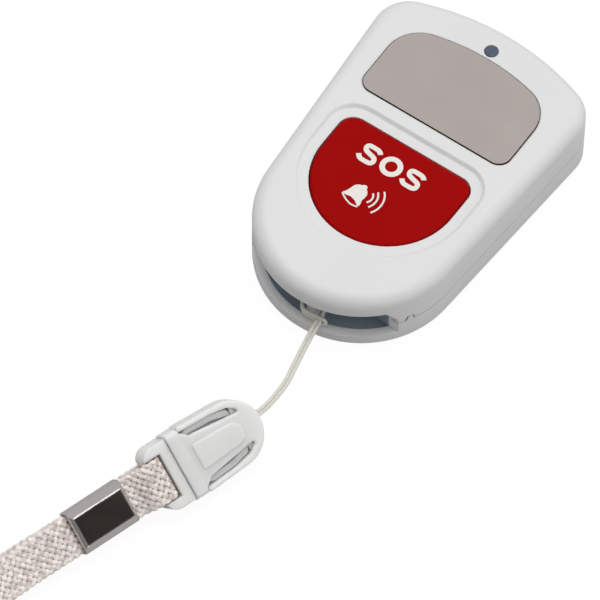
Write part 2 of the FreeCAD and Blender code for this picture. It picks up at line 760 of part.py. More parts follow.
def make_circuit_board():
    body = new_body("circuit_board")
    blank = new_sketch(body, "board_blank", offset="dims.board_height")
    case_outline(blank, "dims.wall + dims.board_gap")
    pad(body, blank, "dims.board_thickness")
    edge = new_sketch(body, "board_end", offset="dims.board_height")
    rectangle(edge, "-dims.body_length", "dims.body_length", "-dims.body_length",
              "dims.liner_wall + dims.board_back_gap - (%s)" % SLOT_BACK)
    pocket(body, edge, "2 * dims.board_thickness", reverse=True)
    holes = new_sketch(body, "board_holes", offset="dims.board_height")
    boss_circles(holes, "dims.screw_diameter + 2 * dims.screw_gap")
    pocket(body, holes, "2 * dims.board_thickness", reverse=True)


def make_switch():
    case = new_box("switch_case", "dims.switch_side", "dims.switch_side", "dims.switch_height",
                   "0", "-dims.switch_place", BOARD_TOP)
    well = new_cylinder("switch_well", "dims.plunger_diameter + 2 * dims.plunger_gap",
                        "dims.switch_height", "0", "-dims.switch_place",
                        "%s - dims.plunger_rise - dims.plunger_depth - dims.button_travel"
                        " - dims.fit" % PLUNGER_TOP)
    body = doc.addObject("Part::Cut", "switch_body")
    body.Label = "switch_body"
    body.Base = case
    body.Tool = well
    PIECES.append(body)
    plunger = new_cylinder("switch_plunger", "dims.plunger_diameter",
                           "dims.plunger_rise + dims.plunger_depth", "0", "-dims.switch_place",
                           "%s - dims.plunger_rise - dims.plunger_depth" % PLUNGER_TOP)
    PIECES.append(plunger)


def make_board_parts():
    PIECES.append(new_box("status_led", "dims.led_length", "dims.led_width", "dims.led_height",
                          "0", LENS_Y, BOARD_TOP))
    PIECES.append(new_box("radio_chip", "dims.chip_side", "dims.chip_side", "dims.chip_height",
                          "dims.chip_x", "dims.chip_y", BOARD_TOP))
    PIECES.append(new_box("crystal", "dims.crystal_length", "dims.crystal_width",
                          "dims.crystal_height", "dims.crystal_x", "dims.crystal_y", BOARD_TOP))


def make_antenna():
    """A wire coil that lies on the board along Y."""
    helix = doc.addObject("Part::Helix", "antenna_line")
    helix.setExpression("Pitch", "dims.antenna_pitch")
    helix.setExpression("Height", "dims.antenna_length")
    helix.setExpression("Radius", ANTENNA_RADIUS)
    wire = doc.addObject("Part::Circle", "antenna_section")
    wire.setExpression("Radius", "dims.antenna_wire / 2")
    wire.Placement = FreeCAD.Placement(FreeCAD.Vector(0, 0, 0),
                                       FreeCAD.Rotation(FreeCAD.Vector(1, 0, 0), 90))
    wire.setExpression("Placement.Base.x", ANTENNA_RADIUS)
    coil = doc.addObject("Part::Sweep", "antenna")
    coil.Label = "antenna"
    coil.Sections = [wire]
    coil.Spine = (helix, ["Edge1"])
    coil.Solid = True
    coil.Frenet = True
    coil.Placement = FreeCAD.Placement(FreeCAD.Vector(0, 0, 0),
                                       FreeCAD.Rotation(FreeCAD.Vector(1, 0, 0), -90))
    coil.setExpression("Placement.Base.x", "-dims.antenna_x")
    coil.setExpression("Placement.Base.y", "dims.antenna_y")
    coil.setExpression("Placement.Base.z",
                       "%s + %s + dims.antenna_wire / 2" % (BOARD_TOP, ANTENNA_RADIUS))
    PIECES.append(coil)


# Battery under the board

CELL_TOP = "dims.board_height - dims.contact_gap"
CELL_Z = "dims.board_height - dims.contact_gap - dims.cell_height"
HOLDER_OUTER = "dims.cell_diameter + 2 * (dims.holder_gap + dims.holder_wall)"


def make_battery():
    body = new_body("battery")
    body.setExpression("Placement.Base.y", "dims.cell_y")
    radius = "dims.cell_diameter / 2"
    profile = new_sketch(body, "cell_profile", "XZ_Plane")
    polygon(profile, [("0", CELL_Z), (radius + " - dims.cell_bevel", CELL_Z),
                      (radius, CELL_Z + " + dims.cell_bevel"),
                      (radius, CELL_TOP + " - 2 * dims.cell_bevel"),
                      (radius + " - dims.cell_bevel", CELL_TOP + " - dims.cell_bevel"),
                      (radius + " - dims.cell_rim", CELL_TOP + " - dims.cell_bevel"),
                      (radius + " - dims.cell_rim - dims.cell_bevel", CELL_TOP), ("0", CELL_TOP)])
    revolve(body, profile)


def make_battery_holder():
    body = new_body("battery_holder")
    ring = new_sketch(body, "holder_ring", offset="dims.board_height - dims.holder_height")
    circle(ring, "0", "dims.cell_y", HOLDER_OUTER)
    circle(ring, "0", "dims.cell_y", "dims.cell_diameter + 2 * dims.holder_gap")
    pad(body, ring, "dims.holder_height")
    gap = new_sketch(body, "holder_gap", offset="dims.board_height - dims.holder_height")
    rectangle(gap, "-dims.holder_mouth / 2", "dims.holder_mouth / 2", "dims.cell_y",
              "dims.cell_y + dims.cell_diameter")
    pocket(body, gap, "dims.holder_height - dims.holder_wall", reverse=True)


def make_battery_clip():
    """A spring strip under the cell, with a leg up to the board on each side."""
    body = new_body("battery_clip")
    body.setExpression("Placement.Base.y", "dims.cell_y")
    inner = "(%s) / 2 + dims.clip_gap" % HOLDER_OUTER
    outer = inner + " + dims.clip_thickness"
    low = CELL_Z + " - dims.clip_thickness"
    profile = new_sketch(body, "clip_profile", "XZ_Plane")
    polygon(profile, [("-(%s)" % outer, low), (outer, low), (outer, "dims.board_height"),
                      (inner, "dims.board_height"), (inner, CELL_Z),
                      ("-(%s)" % inner, CELL_Z), ("-(%s)" % inner, "dims.board_height"),
                      ("-(%s)" % outer, "dims.board_height")])
    pad(body, profile, "dims.clip_width", midplane=True)


def make_battery_contact():
    PIECES.append(new_cylinder("battery_contact", "dims.clip_width", "dims.contact_gap",
                               "0", "dims.cell_y", CELL_TOP))


# Lanyard: these pieces are drawn along +X from the buckle's tip, then laid where they lie

def line_axes():
    """The lanyard's own axes: along it, across its face, and out of its face."""
    lean = FreeCAD.Rotation(FreeCAD.Vector(0, 0, 1), -90 - SIZES["strap_lean"])
    roll = FreeCAD.Rotation(FreeCAD.Vector(1, 0, 0), -SIZES["strap_roll"])
    turn = lean * roll
    return turn, [turn.multVec(FreeCAD.Vector(*axis)) for axis in ((1, 0, 0), (0, 1, 0), (0, 0, 1))]


def lay_out(piece):
    piece.Placement = FreeCAD.Placement(FreeCAD.Vector(0, 0, 0), line_axes()[0])
    piece.setExpression("Placement.Base.x", "dims.tip_x")
    piece.setExpression("Placement.Base.y", TIP_Y)
    piece.setExpression("Placement.Base.z", "dims.tip_height")


def socket_outline(sketch, inset, end):
    """The socket's plan: a round tip and sides that widen towards the collar."""
    radius = SIZES["socket_tip"] - value(inset)
    centre = SIZES["socket_tip"]
    taper = rad("socket_taper")
    far = value(end)
    touch = (centre - radius * math.sin(taper), radius * math.cos(taper))
    half = touch[1] + (far - touch[0]) * math.tan(taper)
    tip = arc(sketch, centre, 0, radius, math.pi / 2 + taper, 1.5 * math.pi - taper)
    lower = line(sketch, (touch[0], -touch[1]), (far, -half))
    closing = line(sketch, (far, -half), (far, half))
    upper = line(sketch, (far, half), touch)
    join(sketch, "Tangent", [(tip, lower), (upper, tip)])
    join(sketch, "Coincident", [(lower, closing), (closing, upper)])
    sketch.addConstraint(Sketcher.Constraint("PointOnObject", tip, 3, -1))
    sketch.addConstraint(Sketcher.Constraint("Symmetric", closing, 1, closing, 2, -1))
    bind(sketch, "dims.socket_tip", "DistanceX", -1, 1, tip, 3)
    bind(sketch, "dims.socket_tip - (%s)" % inset, "Radius", tip)
    bind(sketch, end, "DistanceX", -1, 1, closing, 1)
    bind(sketch, "-dims.socket_taper", "Angle", lower)


SOCKET_MID = "dims.collar_lip + dims.socket_height / 2"


def rail_face(along):
    """How far from the middle the squeeze rail's inner face lies."""
    return ("(dims.socket_tip - dims.rail_width"
            " + (%s - dims.socket_tip) * tan(dims.socket_taper * 1 deg))" % along)


def window_corners(sign):
    """One window beside the tongue, and the gap that frees the squeeze rail's end."""
    inner = "dims.window_tip"
    far = "dims.socket_length - dims.release_gap"
    rail = rail_face("dims.socket_length")
    beyond = "2 * dims.collar_half"
    corners = [("dims.window_start", inner),
               ("dims.window_start", inner + " + dims.window_tip_width"),
               ("dims.window_bend", "dims.window_bend_half"),
               ("dims.window_bulge", rail_face("dims.window_bulge")),
               (far, rail_face("(%s)" % far)), (far, beyond),
               ("dims.socket_length", beyond), ("dims.socket_length", rail),
               ("dims.socket_length - 2 * dims.release_gap", rail + " - dims.release_gap"),
               ("dims.socket_length - dims.release_flare", "dims.tongue_half")]
    corners = [(x, "-(%s)" % y if sign < 0 else y) for x, y in corners]
    return corners if sign > 0 else corners[::-1]


def make_buckle_socket():
    body = new_body("buckle_socket")
    shell = new_sketch(body, "socket_plan", offset="dims.collar_lip")
    socket_outline(shell, "0", "dims.socket_length")
    pad(body, shell, "dims.socket_height")
    windows = new_sketch(body, "socket_windows")
    for sign in (1, -1):
        polygon(windows, window_corners(sign))
    pocket(body, windows, "2 * dims.socket_height", reverse=True)
    near_end = value("dims.window_start")
    round_edges(body, "window_ends", "dims.window_round",
                lambda box: box.ZLength > 1 and box.XLength < 0.001
                and abs(box.XMin - near_end) < 0.001)
    free_end = value("dims.socket_length - dims.release_gap")
    round_edges(body, "rail_ends", "dims.rail_round",
                lambda box: box.ZLength > 1 and box.XLength < 0.001
                and abs(box.XMin - free_end) < 0.001)
    round_edges(body, "socket_edge", "dims.socket_round",
                lambda box: box.ZLength < 0.001 and box.XMin < free_end + 0.001)
    collar = new_sketch(body, "collar_section", "YZ_Plane", "dims.socket_length - dims.fit")
    rectangle(collar, "-dims.collar_half", "dims.collar_half", "0",
              "dims.socket_height + 2 * dims.collar_lip")
    pad(body, collar, "dims.collar_length + dims.fit")
    start = value("dims.socket_length - dims.fit")
    round_edges(body, "collar_edge", "dims.collar_round",
                lambda box: box.XMin > start - 0.001 and box.XLength > 1)
    panel = new_sketch(body, "tongue_panel",
                       offset="dims.collar_lip + dims.socket_height - dims.fit")
    socket_outline(panel, "dims.panel_inset", "dims.panel_end")
    pad(body, panel, "dims.panel_rise + dims.fit")
    round_edges(body, "tongue_edge", "dims.panel_round",
                flat_at("dims.collar_lip + dims.socket_height + dims.panel_rise"))
    cavity = new_sketch(body, "socket_cavity", offset=SOCKET_MID + " - dims.cavity_height / 2")
    mouth = SOCKET_END + " + dims.fit"
    polygon(cavity, [("dims.cavity_start", "-dims.cavity_tip"),
                     ("dims.socket_length", "-dims.cavity_half"), (mouth, "-dims.cavity_half"),
                     (mouth, "dims.cavity_half"), ("dims.socket_length", "dims.cavity_half"),
                     ("dims.cavity_start", "dims.cavity_tip")])
    pocket(body, cavity, "dims.cavity_height", reverse=True)
    bore = new_sketch(body, "string_bore", "YZ_Plane", "dims.cavity_start + dims.fit")
    rectangle(bore, "-dims.string_bore", "dims.string_bore",
              SOCKET_MID + " - dims.string_bore / 2", SOCKET_MID + " + dims.string_bore / 2")
    pocket(body, bore, "dims.cavity_start + dims.wall")
    lay_out(body)


def make_buckle_plug():
    body = new_body("buckle_plug")
    start = PLUG_START
    end = PLUG_START + " + dims.plug_length"
    window = start + " + dims.strap_window_start"
    bar = window + " + dims.strap_window"
    frame = new_sketch(body, "plug_frame", offset="dims.collar_lip")
    rectangle(frame, start, end, "-dims.plug_half", "dims.plug_half")
    pad(body, frame, "dims.plug_height")
    far = value(end)
    round_edges(body, "plug_corners", "dims.plug_corner",
                lambda box: box.XMin > far - 0.001 and box.ZLength > 1 and box.YLength < 0.001)
    slot = new_sketch(body, "plug_slot")
    rectangle(slot, window, bar, "-dims.strap_window_half", "dims.strap_window_half")
    pocket(body, slot, "2 * dims.plug_height", reverse=True)
    for name, low, high in (
            ("bar_top", SOCKET_MID + " + dims.bar_height / 2", "2 * dims.plug_height"),
            ("bar_underside", "0", SOCKET_MID + " - dims.bar_height / 2")):
        relief = new_sketch(body, name, "YZ_Plane", end + " + dims.fit")
        rectangle(relief, "-dims.strap_window_half", "dims.strap_window_half", low, high)
        pocket(body, relief, "dims.plug_length - dims.strap_window_start - dims.strap_window"
                             " + 2 * dims.fit")
    near = value(bar)
    round_edges(body, "bar_round", "dims.bar_round",
                lambda box: abs(box.XMin - near) < 0.001 and abs(box.XMax - near) < 0.001
                and box.YLength > 2)

    half_neck = "dims.cavity_half - dims.fit"
    neck = new_sketch(body, "plug_neck", "YZ_Plane", start + " - dims.collar_length")
    rectangle(neck, "-(%s)" % half_neck, half_neck,
              SOCKET_MID + " - dims.cavity_height / 2 + dims.fit",
              SOCKET_MID + " + dims.cavity_height / 2 - dims.fit")
    pad(body, neck, "dims.collar_length + dims.fit")
    arms = new_sketch(body, "plug_arms", offset=SOCKET_MID + " - dims.arm_height / 2")
    root = start + " - dims.collar_length + dims.fit"
    tip = start + " - dims.arm_length"
    throat = "dims.socket_length - dims.arm_width"
    spread = "(dims.socket_length - 2 * dims.arm_width)"
    corners = [(root, "dims.arm_root - dims.arm_width"), (root, "dims.arm_root"),
               (throat, "dims.arm_root"), (spread, rail_face(spread) + " - dims.arm_gap"),
               ("dims.window_bulge", rail_face("dims.window_bulge") + " - dims.arm_gap"),
               ("dims.window_bend", "dims.window_bend_half - 2 * dims.arm_gap"),
               (tip, "dims.window_bend_half - dims.arm_width"), (tip, "dims.window_tip"),
               ("dims.window_bulge", rail_face("dims.window_bulge")
                + " - dims.arm_gap - dims.arm_width"),
               (spread, rail_face(spread) + " - dims.arm_gap - dims.arm_width")]
    for sign in ("", "-"):
        polygon(arms, [(x, "%s(%s)" % (sign, y)) for x, y in corners])
    rectangle(arms, start + " - dims.guide_length", root, "-dims.guide_half", "dims.guide_half")
    pad(body, arms, "dims.arm_height")
    lay_out(body)


def make_strap_clamp():
    body = new_body("strap_clamp")
    section = new_sketch(body, "clamp_section", "YZ_Plane", "dims.clamp_start")
    half = "dims.clamp_half"
    fold = "dims.clamp_wall"
    polygon(section, [("-(%s - %s)" % (half, fold), "0"), ("%s - %s" % (half, fold), "0"),
                      (half, fold), (half, "dims.clamp_shoulder"),
                      ("dims.clamp_top_half", "dims.clamp_height"),
                      ("-dims.clamp_top_half", "dims.clamp_height"),
                      ("-" + half, "dims.clamp_shoulder"), ("-" + half, fold)])
    rectangle(section, "-(dims.strap_width / 2 + dims.fit)", "dims.strap_width / 2 + dims.fit",
              STRAP_LOW + " - dims.strap_thickness / 2",
              STRAP_HIGH + " + dims.strap_thickness / 2")
    pad(body, section, "dims.clamp_length")
    dress_edges(body, "Chamfer", "clamp_ends", "Size", "dims.clamp_bevel",
                lambda box: box.XLength < 0.001 and box.YLength > 0.001
                and box.ZMin > value("dims.clamp_height") - 0.001)
    lay_out(body)


# Soft pieces: routes of straight runs joined by tangent arcs

STRAP_LOW = "dims.clamp_wall + dims.strap_thickness / 2"
STRAP_HIGH = "dims.clamp_wall + dims.strap_thickness * 1.5 + dims.strap_seam"
RUN_SHARE = 0.45


def route(points):
    """Splits a route into straight and arc pieces: (kind, start, middle, end), and the radii."""
    points = [FreeCAD.Vector(*point) for point in points]
    pieces = []
    radii = []
    here = points[0]
    for before, corner, after in zip(points, points[1:], points[2:]):
        arriving = corner - before
        leaving = after - corner
        trim = RUN_SHARE * min(arriving.Length, leaving.Length)
        turn = arriving.getAngle(leaving)
        radii.append(trim / math.tan(turn / 2))
        start = corner - arriving.normalize() * trim
        end = corner + leaving.normalize() * trim
        inward = (start + end) / 2 - corner
        reach = radii[-1] / math.cos(turn / 2) - radii[-1]
        middle = corner + inward.normalize() * reach
        pieces.append(("run", here, None, start))
        pieces.append(("arc", start, middle, end))
        here = end
    pieces.append(("run", here, None, points[-1]))
    return pieces, radii


def route_edges(pieces):
    return [Part.LineSegment(start, end).toShape() if kind == "run"
            else Part.Arc(start, middle, end).toShape() for kind, start, middle, end in pieces]


def add_soft(label, shape, radii, volume):
    """Stores a soft solid, prints its smallest bend and compares its volume."""
    if abs(shape.Volume - volume) > 0.03 * volume:
        raise RuntimeError("%s: volume %.1f against %.1f" % (label, shape.Volume, volume))
    print("%s: smallest bend radius %.2f mm" % (label, min(radii)))
    piece = doc.addObject("Part::Feature", label)
    piece.Label = label
    piece.Shape = shape
    PIECES.append(piece)
    return piece


def band(label, profile):
    """A flat strip whose edge follows a route in the plane of length and height."""
    width = SIZES["strap_width"]
    pieces, radii = route([(along, -width / 2, height) for along, height in profile])
    length = sum(edge.Length for edge in route_edges(pieces))
    half = SIZES["strap_thickness"] / 2
    across = FreeCAD.Vector(0, 1, 0)
    sides = {1: [], -1: []}
    for kind, start, middle, end in pieces:
        if kind == "run":
            heading = (end - start).normalize()
            start_out = end_out = across.cross(heading)
        else:
            centre = Part.Arc(start, middle, end).toShape().Curve.Center
            flip = 1 if (end - middle).cross(start - middle).dot(across) < 0 else -1
            start_out = (start - centre).normalize() * flip
            middle_out = (middle - centre).normalize() * flip
            end_out = (end - centre).normalize() * flip
        for side in sides:
            shift = half * side
            first = start + start_out * shift
            last = end + end_out * shift
            if kind == "run":
                sides[side].append(Part.LineSegment(first, last).toShape())
            else:
                bent = Part.Arc(first, middle + middle_out * shift, last)
                sides[side].append(bent.toShape())
    caps = [Part.LineSegment(sides[1][-1].Vertexes[-1].Point,
                             sides[-1][-1].Vertexes[-1].Point).toShape(),
            Part.LineSegment(sides[1][0].Vertexes[0].Point,
                             sides[-1][0].Vertexes[0].Point).toShape()]
    outline = Part.Wire(Part.__sortEdges__(sides[1] + sides[-1] + caps))
    strip = Part.Face(outline).extrude(FreeCAD.Vector(0, width, 0))
    piece = add_soft(label, strip, radii, length * width * SIZES["strap_thickness"])
    lay_out(piece)
    print("%s: length %.1f mm" % (label, length))


def make_strap():
    """The strap tab round the buckle's bar, and the wrist loop behind the clamp."""
    low = value(STRAP_LOW)
    high = value(STRAP_HIGH)
    middle = value("dims.clamp_start + dims.clamp_length / 2")
    mouth = value("dims.clamp_start")
    bar = value(PLUG_START + " + dims.strap_window_start + dims.strap_window")
    around = value("dims.bar_height / 2 + dims.fit + dims.strap_thickness / 2")
    level = value(SOCKET_MID)
    before_bar = bar - value("dims.fit + dims.strap_thickness / 2")
    seam = value("dims.strap_seam")
    past_bar = bar + 3.0
    band("strap_tab", [(middle - seam, high), (mouth + 2.4, high - 0.03), (mouth - 1.4, high),
                       (past_bar, level + around + 0.15), (before_bar + 2, level + around + 0.2),
                       (before_bar, level + around + 0.05), (before_bar - 0.05, level - around),
                       (before_bar + 2.1, level - around), (mouth - 1.4, low),
                       (mouth + 2.4, low + 0.03), (middle - seam, low)])
    tail = mouth + SIZES["clamp_length"]
    roll = rad("strap_roll")
    rest = (SIZES["strap_thickness"] / 2 - (SIZES["tip_height"] - SIZES["fit"]) / math.cos(roll)
            + SIZES["strap_width"] / 2 * math.tan(roll))
    band("strap_loop", [(middle + seam, low), (tail - 1.5, low + 0.03), (tail + 3.2, low),
                        (tail + 10, rest + 1.1), (tail + 25, rest + 0.35), (tail + 50, rest),
                        (tail + 80, rest + 0.45), (tail + 102, rest + 0.05),
                        (tail + 114, rest + 0.25), (tail + 122, rest + 2.6),
                        (tail + 123.5, rest + 8.2), (tail + 118, rest + 11.4),
                        (tail + 106, rest + 11.5), (tail + 84, rest + 9.9),
                        (tail + 60, rest + 8.1), (tail + 37, rest + 6.0),
                        (tail + 19.5, rest + 4.1), (tail + 9.5, high - 0.15),
                        (tail + 3.2, high), (tail - 1.5, high - 0.03), (middle + seam, high)])


def make_string():
    """One string: from the buckle, round the post, through its own bight, and back."""
    post_x = SIZES["post_offset"]
    end_y = -value("dims.body_length / 2")
    post_y = end_y + SIZES["post_inset"]
    along, across, out = line_axes()[1]
    tip = FreeCAD.Vector(SIZES["tip_x"], value(TIP_Y), SIZES["tip_height"])
    tip = tip + out * value(SOCKET_MID)
    low = 3.2
    middle = 4.25
    high = 5.3

    def strand(side):
        """The stretch from inside the buckle to the bight, on one side of its partner."""
        half = side * 0.51
        return [tip + along * 2.4 + across * half, tip - along * 3.2 + across * half,
                FreeCAD.Vector(5.95 + half, end_y - 13.45, 4.3),
                FreeCAD.Vector(5.0 + half, end_y - 7.65, 3.5),
                FreeCAD.Vector(4.2 + half, end_y - 2.65, 3.95),
                FreeCAD.Vector(3.55 + half, end_y + 1.15, middle)]

    def wrap(height):
        """Behind the post from its right, round its left and across its front."""
        return [FreeCAD.Vector(post_x + x, post_y + y, height + lift) for x, y, lift in
                ((2.3, -0.1, 0), (1.0, 2.0, 0.05), (-1.3, 1.6, 0), (-2.1, -0.5, -0.05),
                 (-0.8, -2.2, 0.05), (1.7, -2.0, 0))]

    bight_x = post_x + 4.7
    bight_y = post_y - 2.15
    bight = [FreeCAD.Vector(bight_x, bight_y, low), FreeCAD.Vector(bight_x, bight_y, high)]
    points = strand(-1) + wrap(low) + bight + wrap(high)[::-1] + strand(1)[::-1]
    pieces, radii = route(points)
    print("string radii", [round(radius, 2) for radius in radii])
    path = Part.Wire(route_edges(pieces))
    start = pieces[0][1]
    heading = pieces[0][3] - start
    section = Part.Wire(Part.Circle(start, heading, SIZES["string_diameter"] / 2).toShape())
    tube = path.makePipeShell([section], True, True)
    area = math.pi * SIZES["string_diameter"] ** 2 / 4
    add_soft("string", tube, radii, path.Length * area)
    print("string: length %.1f mm" % path.Length)


make_front_cover()
make_rear_cover()
make_slot_liner()
make_cover_screws()
make_alarm_button()
make_face_plate()
make_status_lens()
make_circuit_board()
make_switch()
make_board_parts()
make_antenna()
make_battery()
make_battery_holder()
make_battery_clip()
make_battery_contact()
make_buckle_socket()
make_buckle_plug()
make_strap_clamp()
make_strap()
make_string()
doc.recompute()

for item in doc.Objects:
    if "Invalid" in item.State or "Error" in item.State:
        raise RuntimeError("%s is %s" % (item.Name, item.State))
for piece in PIECES:
    if piece.Shape.isNull() or not piece.Shape.isValid():
        raise RuntimeError(piece.Label + " has no valid shape")
for piece in PIECES:
    piece.Shape.exportStep("parts/%s.step" % piece.Label)
print("%d pieces written" % len(PIECES))
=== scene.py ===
# %% [markdown]
# # A pendant alarm button, dressed for its photograph
#
# The case, the buckle and the clamp arrive from the CAD model, which fixes every size and place.
# This lesson gives them their plastics and metals, prints the mark on the button, twists the
# string, plaits the strap, and lights it all. Each step says what the real piece is, how it could
# be made in Blender, and why this way was chosen.

# %% Load the frame
import math

import bmesh
import bpy
from mathutils import Matrix, Vector


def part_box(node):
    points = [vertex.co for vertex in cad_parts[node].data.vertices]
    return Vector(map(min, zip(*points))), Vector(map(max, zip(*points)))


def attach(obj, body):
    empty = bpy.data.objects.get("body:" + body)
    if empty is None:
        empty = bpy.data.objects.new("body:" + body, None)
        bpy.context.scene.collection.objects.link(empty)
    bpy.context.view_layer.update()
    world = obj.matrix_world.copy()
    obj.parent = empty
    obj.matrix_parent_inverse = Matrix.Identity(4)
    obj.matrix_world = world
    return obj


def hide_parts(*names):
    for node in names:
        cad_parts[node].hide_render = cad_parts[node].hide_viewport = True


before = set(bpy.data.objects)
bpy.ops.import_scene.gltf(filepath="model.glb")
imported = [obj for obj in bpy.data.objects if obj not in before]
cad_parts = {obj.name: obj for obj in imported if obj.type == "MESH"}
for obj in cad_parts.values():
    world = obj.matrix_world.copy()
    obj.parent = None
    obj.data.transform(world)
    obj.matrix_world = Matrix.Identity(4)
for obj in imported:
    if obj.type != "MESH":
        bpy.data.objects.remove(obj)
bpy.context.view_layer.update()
MM = 0.001
print("nodes from the CAD model:", ", ".join(sorted(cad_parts)))

# %% [markdown]
# ## The camera
#
# A product photographer stands well back with a long lens, so that the case hardly tapers towards
# its far end. The distance, lens and angles here were solved from the outline of the case in the
# picture. The camera's own axes are worked out from the two angles and a small roll, which is
# more exact than aiming it by eye at an empty.

# %% Camera
AIM = Vector((1.65, -33.36, 13.13)) * MM
AZIMUTH = math.radians(34.40)
ELEVATION = math.radians(58.65)
ROLL = math.radians(0.52)
DISTANCE = 1.076
LENS_MM = 387.4
SENSOR_MM = 36

back = Vector((math.sin(AZIMUTH) * math.cos(ELEVATION),
               -math.cos(AZIMUTH) * math.cos(ELEVATION), math.sin(ELEVATION)))
level_right = Vector((math.cos(AZIMUTH), math.sin(AZIMUTH), 0))
level_up = back.cross(level_right)
right = level_right * math.cos(ROLL) + level_up * math.sin(ROLL)
up = level_up * math.cos(ROLL) - level_right * math.sin(ROLL)

camera_data = bpy.data.cameras.new("long_lens")
camera_data.sensor_width = SENSOR_MM
camera_data.lens = LENS_MM
camera_data.clip_start = 0.05
camera = bpy.data.objects.new("long_lens", camera_data)
axes = Matrix((right, up, back)).transposed().to_4x4()
camera.matrix_world = Matrix.Translation(AIM + back * DISTANCE) @ axes
bpy.context.scene.collection.objects.link(camera)
bpy.context.scene.camera = camera
print("camera at", [round(x, 4) for x in camera.location])

# %% [markdown]
# ## Two helpers
#
# Colours are easiest to match as the sRGB hex codes that a picture editor shows, but Blender's
# sockets take linear values, so one function converts them. The other adds a node to any tree,
# sets its properties and fills its inputs with numbers or with other nodes' outputs. Everything
# that follows, finishes and geometry alike, is built with it.

# %% Helpers


def colour(code):
    """Linear RGBA values for an sRGB hex code such as "#E2E2E1"."""
    parts = [int(code[place:place + 2], 16) / 255 for place in (1, 3, 5)]
    return [part / 12.92 if part <= 0.04045 else ((part + 0.055) / 1.055) ** 2.4
            for part in parts] + [1.0]


def add(tree, kind, inputs=None, **settings):
    """A new node of that kind, with its settings, and its inputs set or linked."""
    node = tree.nodes.new(kind)
    for name, setting in settings.items():
        setattr(node, name, setting)
    for key, source in (inputs or {}).items():
        if isinstance(source, bpy.types.NodeSocket):
            tree.links.new(source, node.inputs[key])
        else:
            node.inputs[key].default_value = source
    return node


def start_material(name, code, roughness, metallic=0.0):
    """A material with one Principled shader: returns it, its tree and the shader."""
    material = bpy.data.materials.new(name)
    material.use_nodes = True
    tree = material.node_tree
    shader = tree.nodes["Principled BSDF"]
    shader.inputs["Base Color"].default_value = colour(code)
    shader.inputs["Roughness"].default_value = roughness
    shader.inputs["Metallic"].default_value = metallic
    return material, tree, shader


# %% [markdown]
# ## The white case: moulded ABS
#
# ABS is an opaque, slightly soft looking plastic. The mould's steel is spark eroded, which leaves
# a texture of grains about a third of a millimetre wide and a few microns deep: it takes the
# mirror out of the gloss without looking rough. Two noises give this: a fine one drives the bump,
# and one two centimetres wide shifts the tone by a shade, as thick and thin walls do. Ambient
# occlusion paints shade into the narrow joints and crevices, and a bevel in the shading rounds the
# mould's edges.

# %% White ABS
GRAIN = 0.32 * MM
WIDE_PATCH = 22 * MM
white_abs, tree, shader = start_material("spark_eroded_white_abs", "#E3E3E2", 0.46)
place = add(tree, "ShaderNodeTexCoord").outputs["Object"]
grain = add(tree, "ShaderNodeTexNoise", {"Vector": place, "Scale": 1 / GRAIN, "Detail": 2.0})
drift = add(tree, "ShaderNodeTexNoise", {"Vector": place, "Scale": 1 / WIDE_PATCH,
                                         "Detail": 1.0})
tone = add(tree, "ShaderNodeMix", {0: drift.outputs["Fac"], 6: colour("#E6E6E5"),
                                   7: colour("#E0E0E0")}, data_type="RGBA")
# Painted shade: ambient occlusion darkens the colour towards #4A4A48 in joints and crevices, where
# shade falls.
shelter = add(tree, "ShaderNodeAmbientOcclusion", {"Distance": 0.3 * MM}, samples=8)
painted_crevice_shade = add(tree, "ShaderNodeMapRange", {"Value": shelter.outputs["AO"], "From Min": 0.1,
                                        "From Max": 0.45})
shade_darkened_tone = add(tree, "ShaderNodeMix", {0: painted_crevice_shade.outputs[0], 6: colour("#4A4A48"),
                                   7: tone.outputs[2]}, data_type="RGBA")
soft_edge = add(tree, "ShaderNodeBevel", {"Radius": 0.3 * MM}, samples=6)
relief = add(tree, "ShaderNodeBump", {"Height": grain.outputs["Fac"], "Strength": 0.25,
                                      "Distance": 0.01 * MM,
                                      "Normal": soft_edge.outputs["Normal"]})
tree.links.new(shade_darkened_tone.outputs[2], shader.inputs["Base Color"])
tree.links.new(relief.outputs["Normal"], shader.inputs["Normal"])
print("white ABS has", len(tree.nodes), "nodes")

# %% [markdown]
# ## The other plastics and metals
#
# Most of the small parts differ from the case only in colour, gloss and the size of their grain,
# so one function makes them from those numbers. Each gets a tone that drifts a little, over
# patches of 8 mm, and a fine grain that takes the mirror out of its gloss.

# %% Plain finishes
PATCH = 8.3 * MM


def moulded(name, code, second_code, roughness, grain_size, strength, metallic=0.0, edge=0.0):
    """A finish whose tone drifts between two colours, over a fine grain of a size in metres."""
    material, tree, shader = start_material(name, code, roughness, metallic)
    place = add(tree, "ShaderNodeTexCoord").outputs["Object"]
    grain = add(tree, "ShaderNodeTexNoise", {"Vector": place, "Scale": 1 / grain_size})
    drift = add(tree, "ShaderNodeTexNoise", {"Vector": place, "Scale": 1 / PATCH})
    tone = add(tree, "ShaderNodeMix", {0: drift.outputs["Fac"], 6: colour(code),
                                       7: colour(second_code)}, data_type="RGBA")
    relief = add(tree, "ShaderNodeBump", {"Height": grain.outputs["Fac"], "Strength": strength,
                                          "Distance": 0.02 * MM})
    tree.links.new(tone.outputs[2], shader.inputs["Base Color"])
    tree.links.new(relief.outputs["Normal"], shader.inputs["Normal"])
    if edge:
        soft_edge = add(tree, "ShaderNodeBevel", {"Radius": edge}, samples=8)
        tree.links.new(soft_edge.outputs["Normal"], relief.inputs["Normal"])
    return material


# %% [markdown]
# ## Plastics and metals, one by one
#
# A comment says what each material is and what that gives the eye. Moulded grains are 0.15 to
# 0.5 mm wide. The grains of blasted and of plated metal are ten times finer than they are here,
# and are drawn at 0.1 to 0.3 mm so that they show.

# %% Plastics
# Moulded ABS, coloured right through: an even red that mirrors next to nothing.
red_abs = moulded("moulded_red_abs", "#A40202", "#980101", 0.5, 0.3 * MM, 0.1, edge=0.4 * MM)
red_abs.node_tree.nodes["Principled BSDF"].inputs["Specular IOR Level"].default_value = 0.06
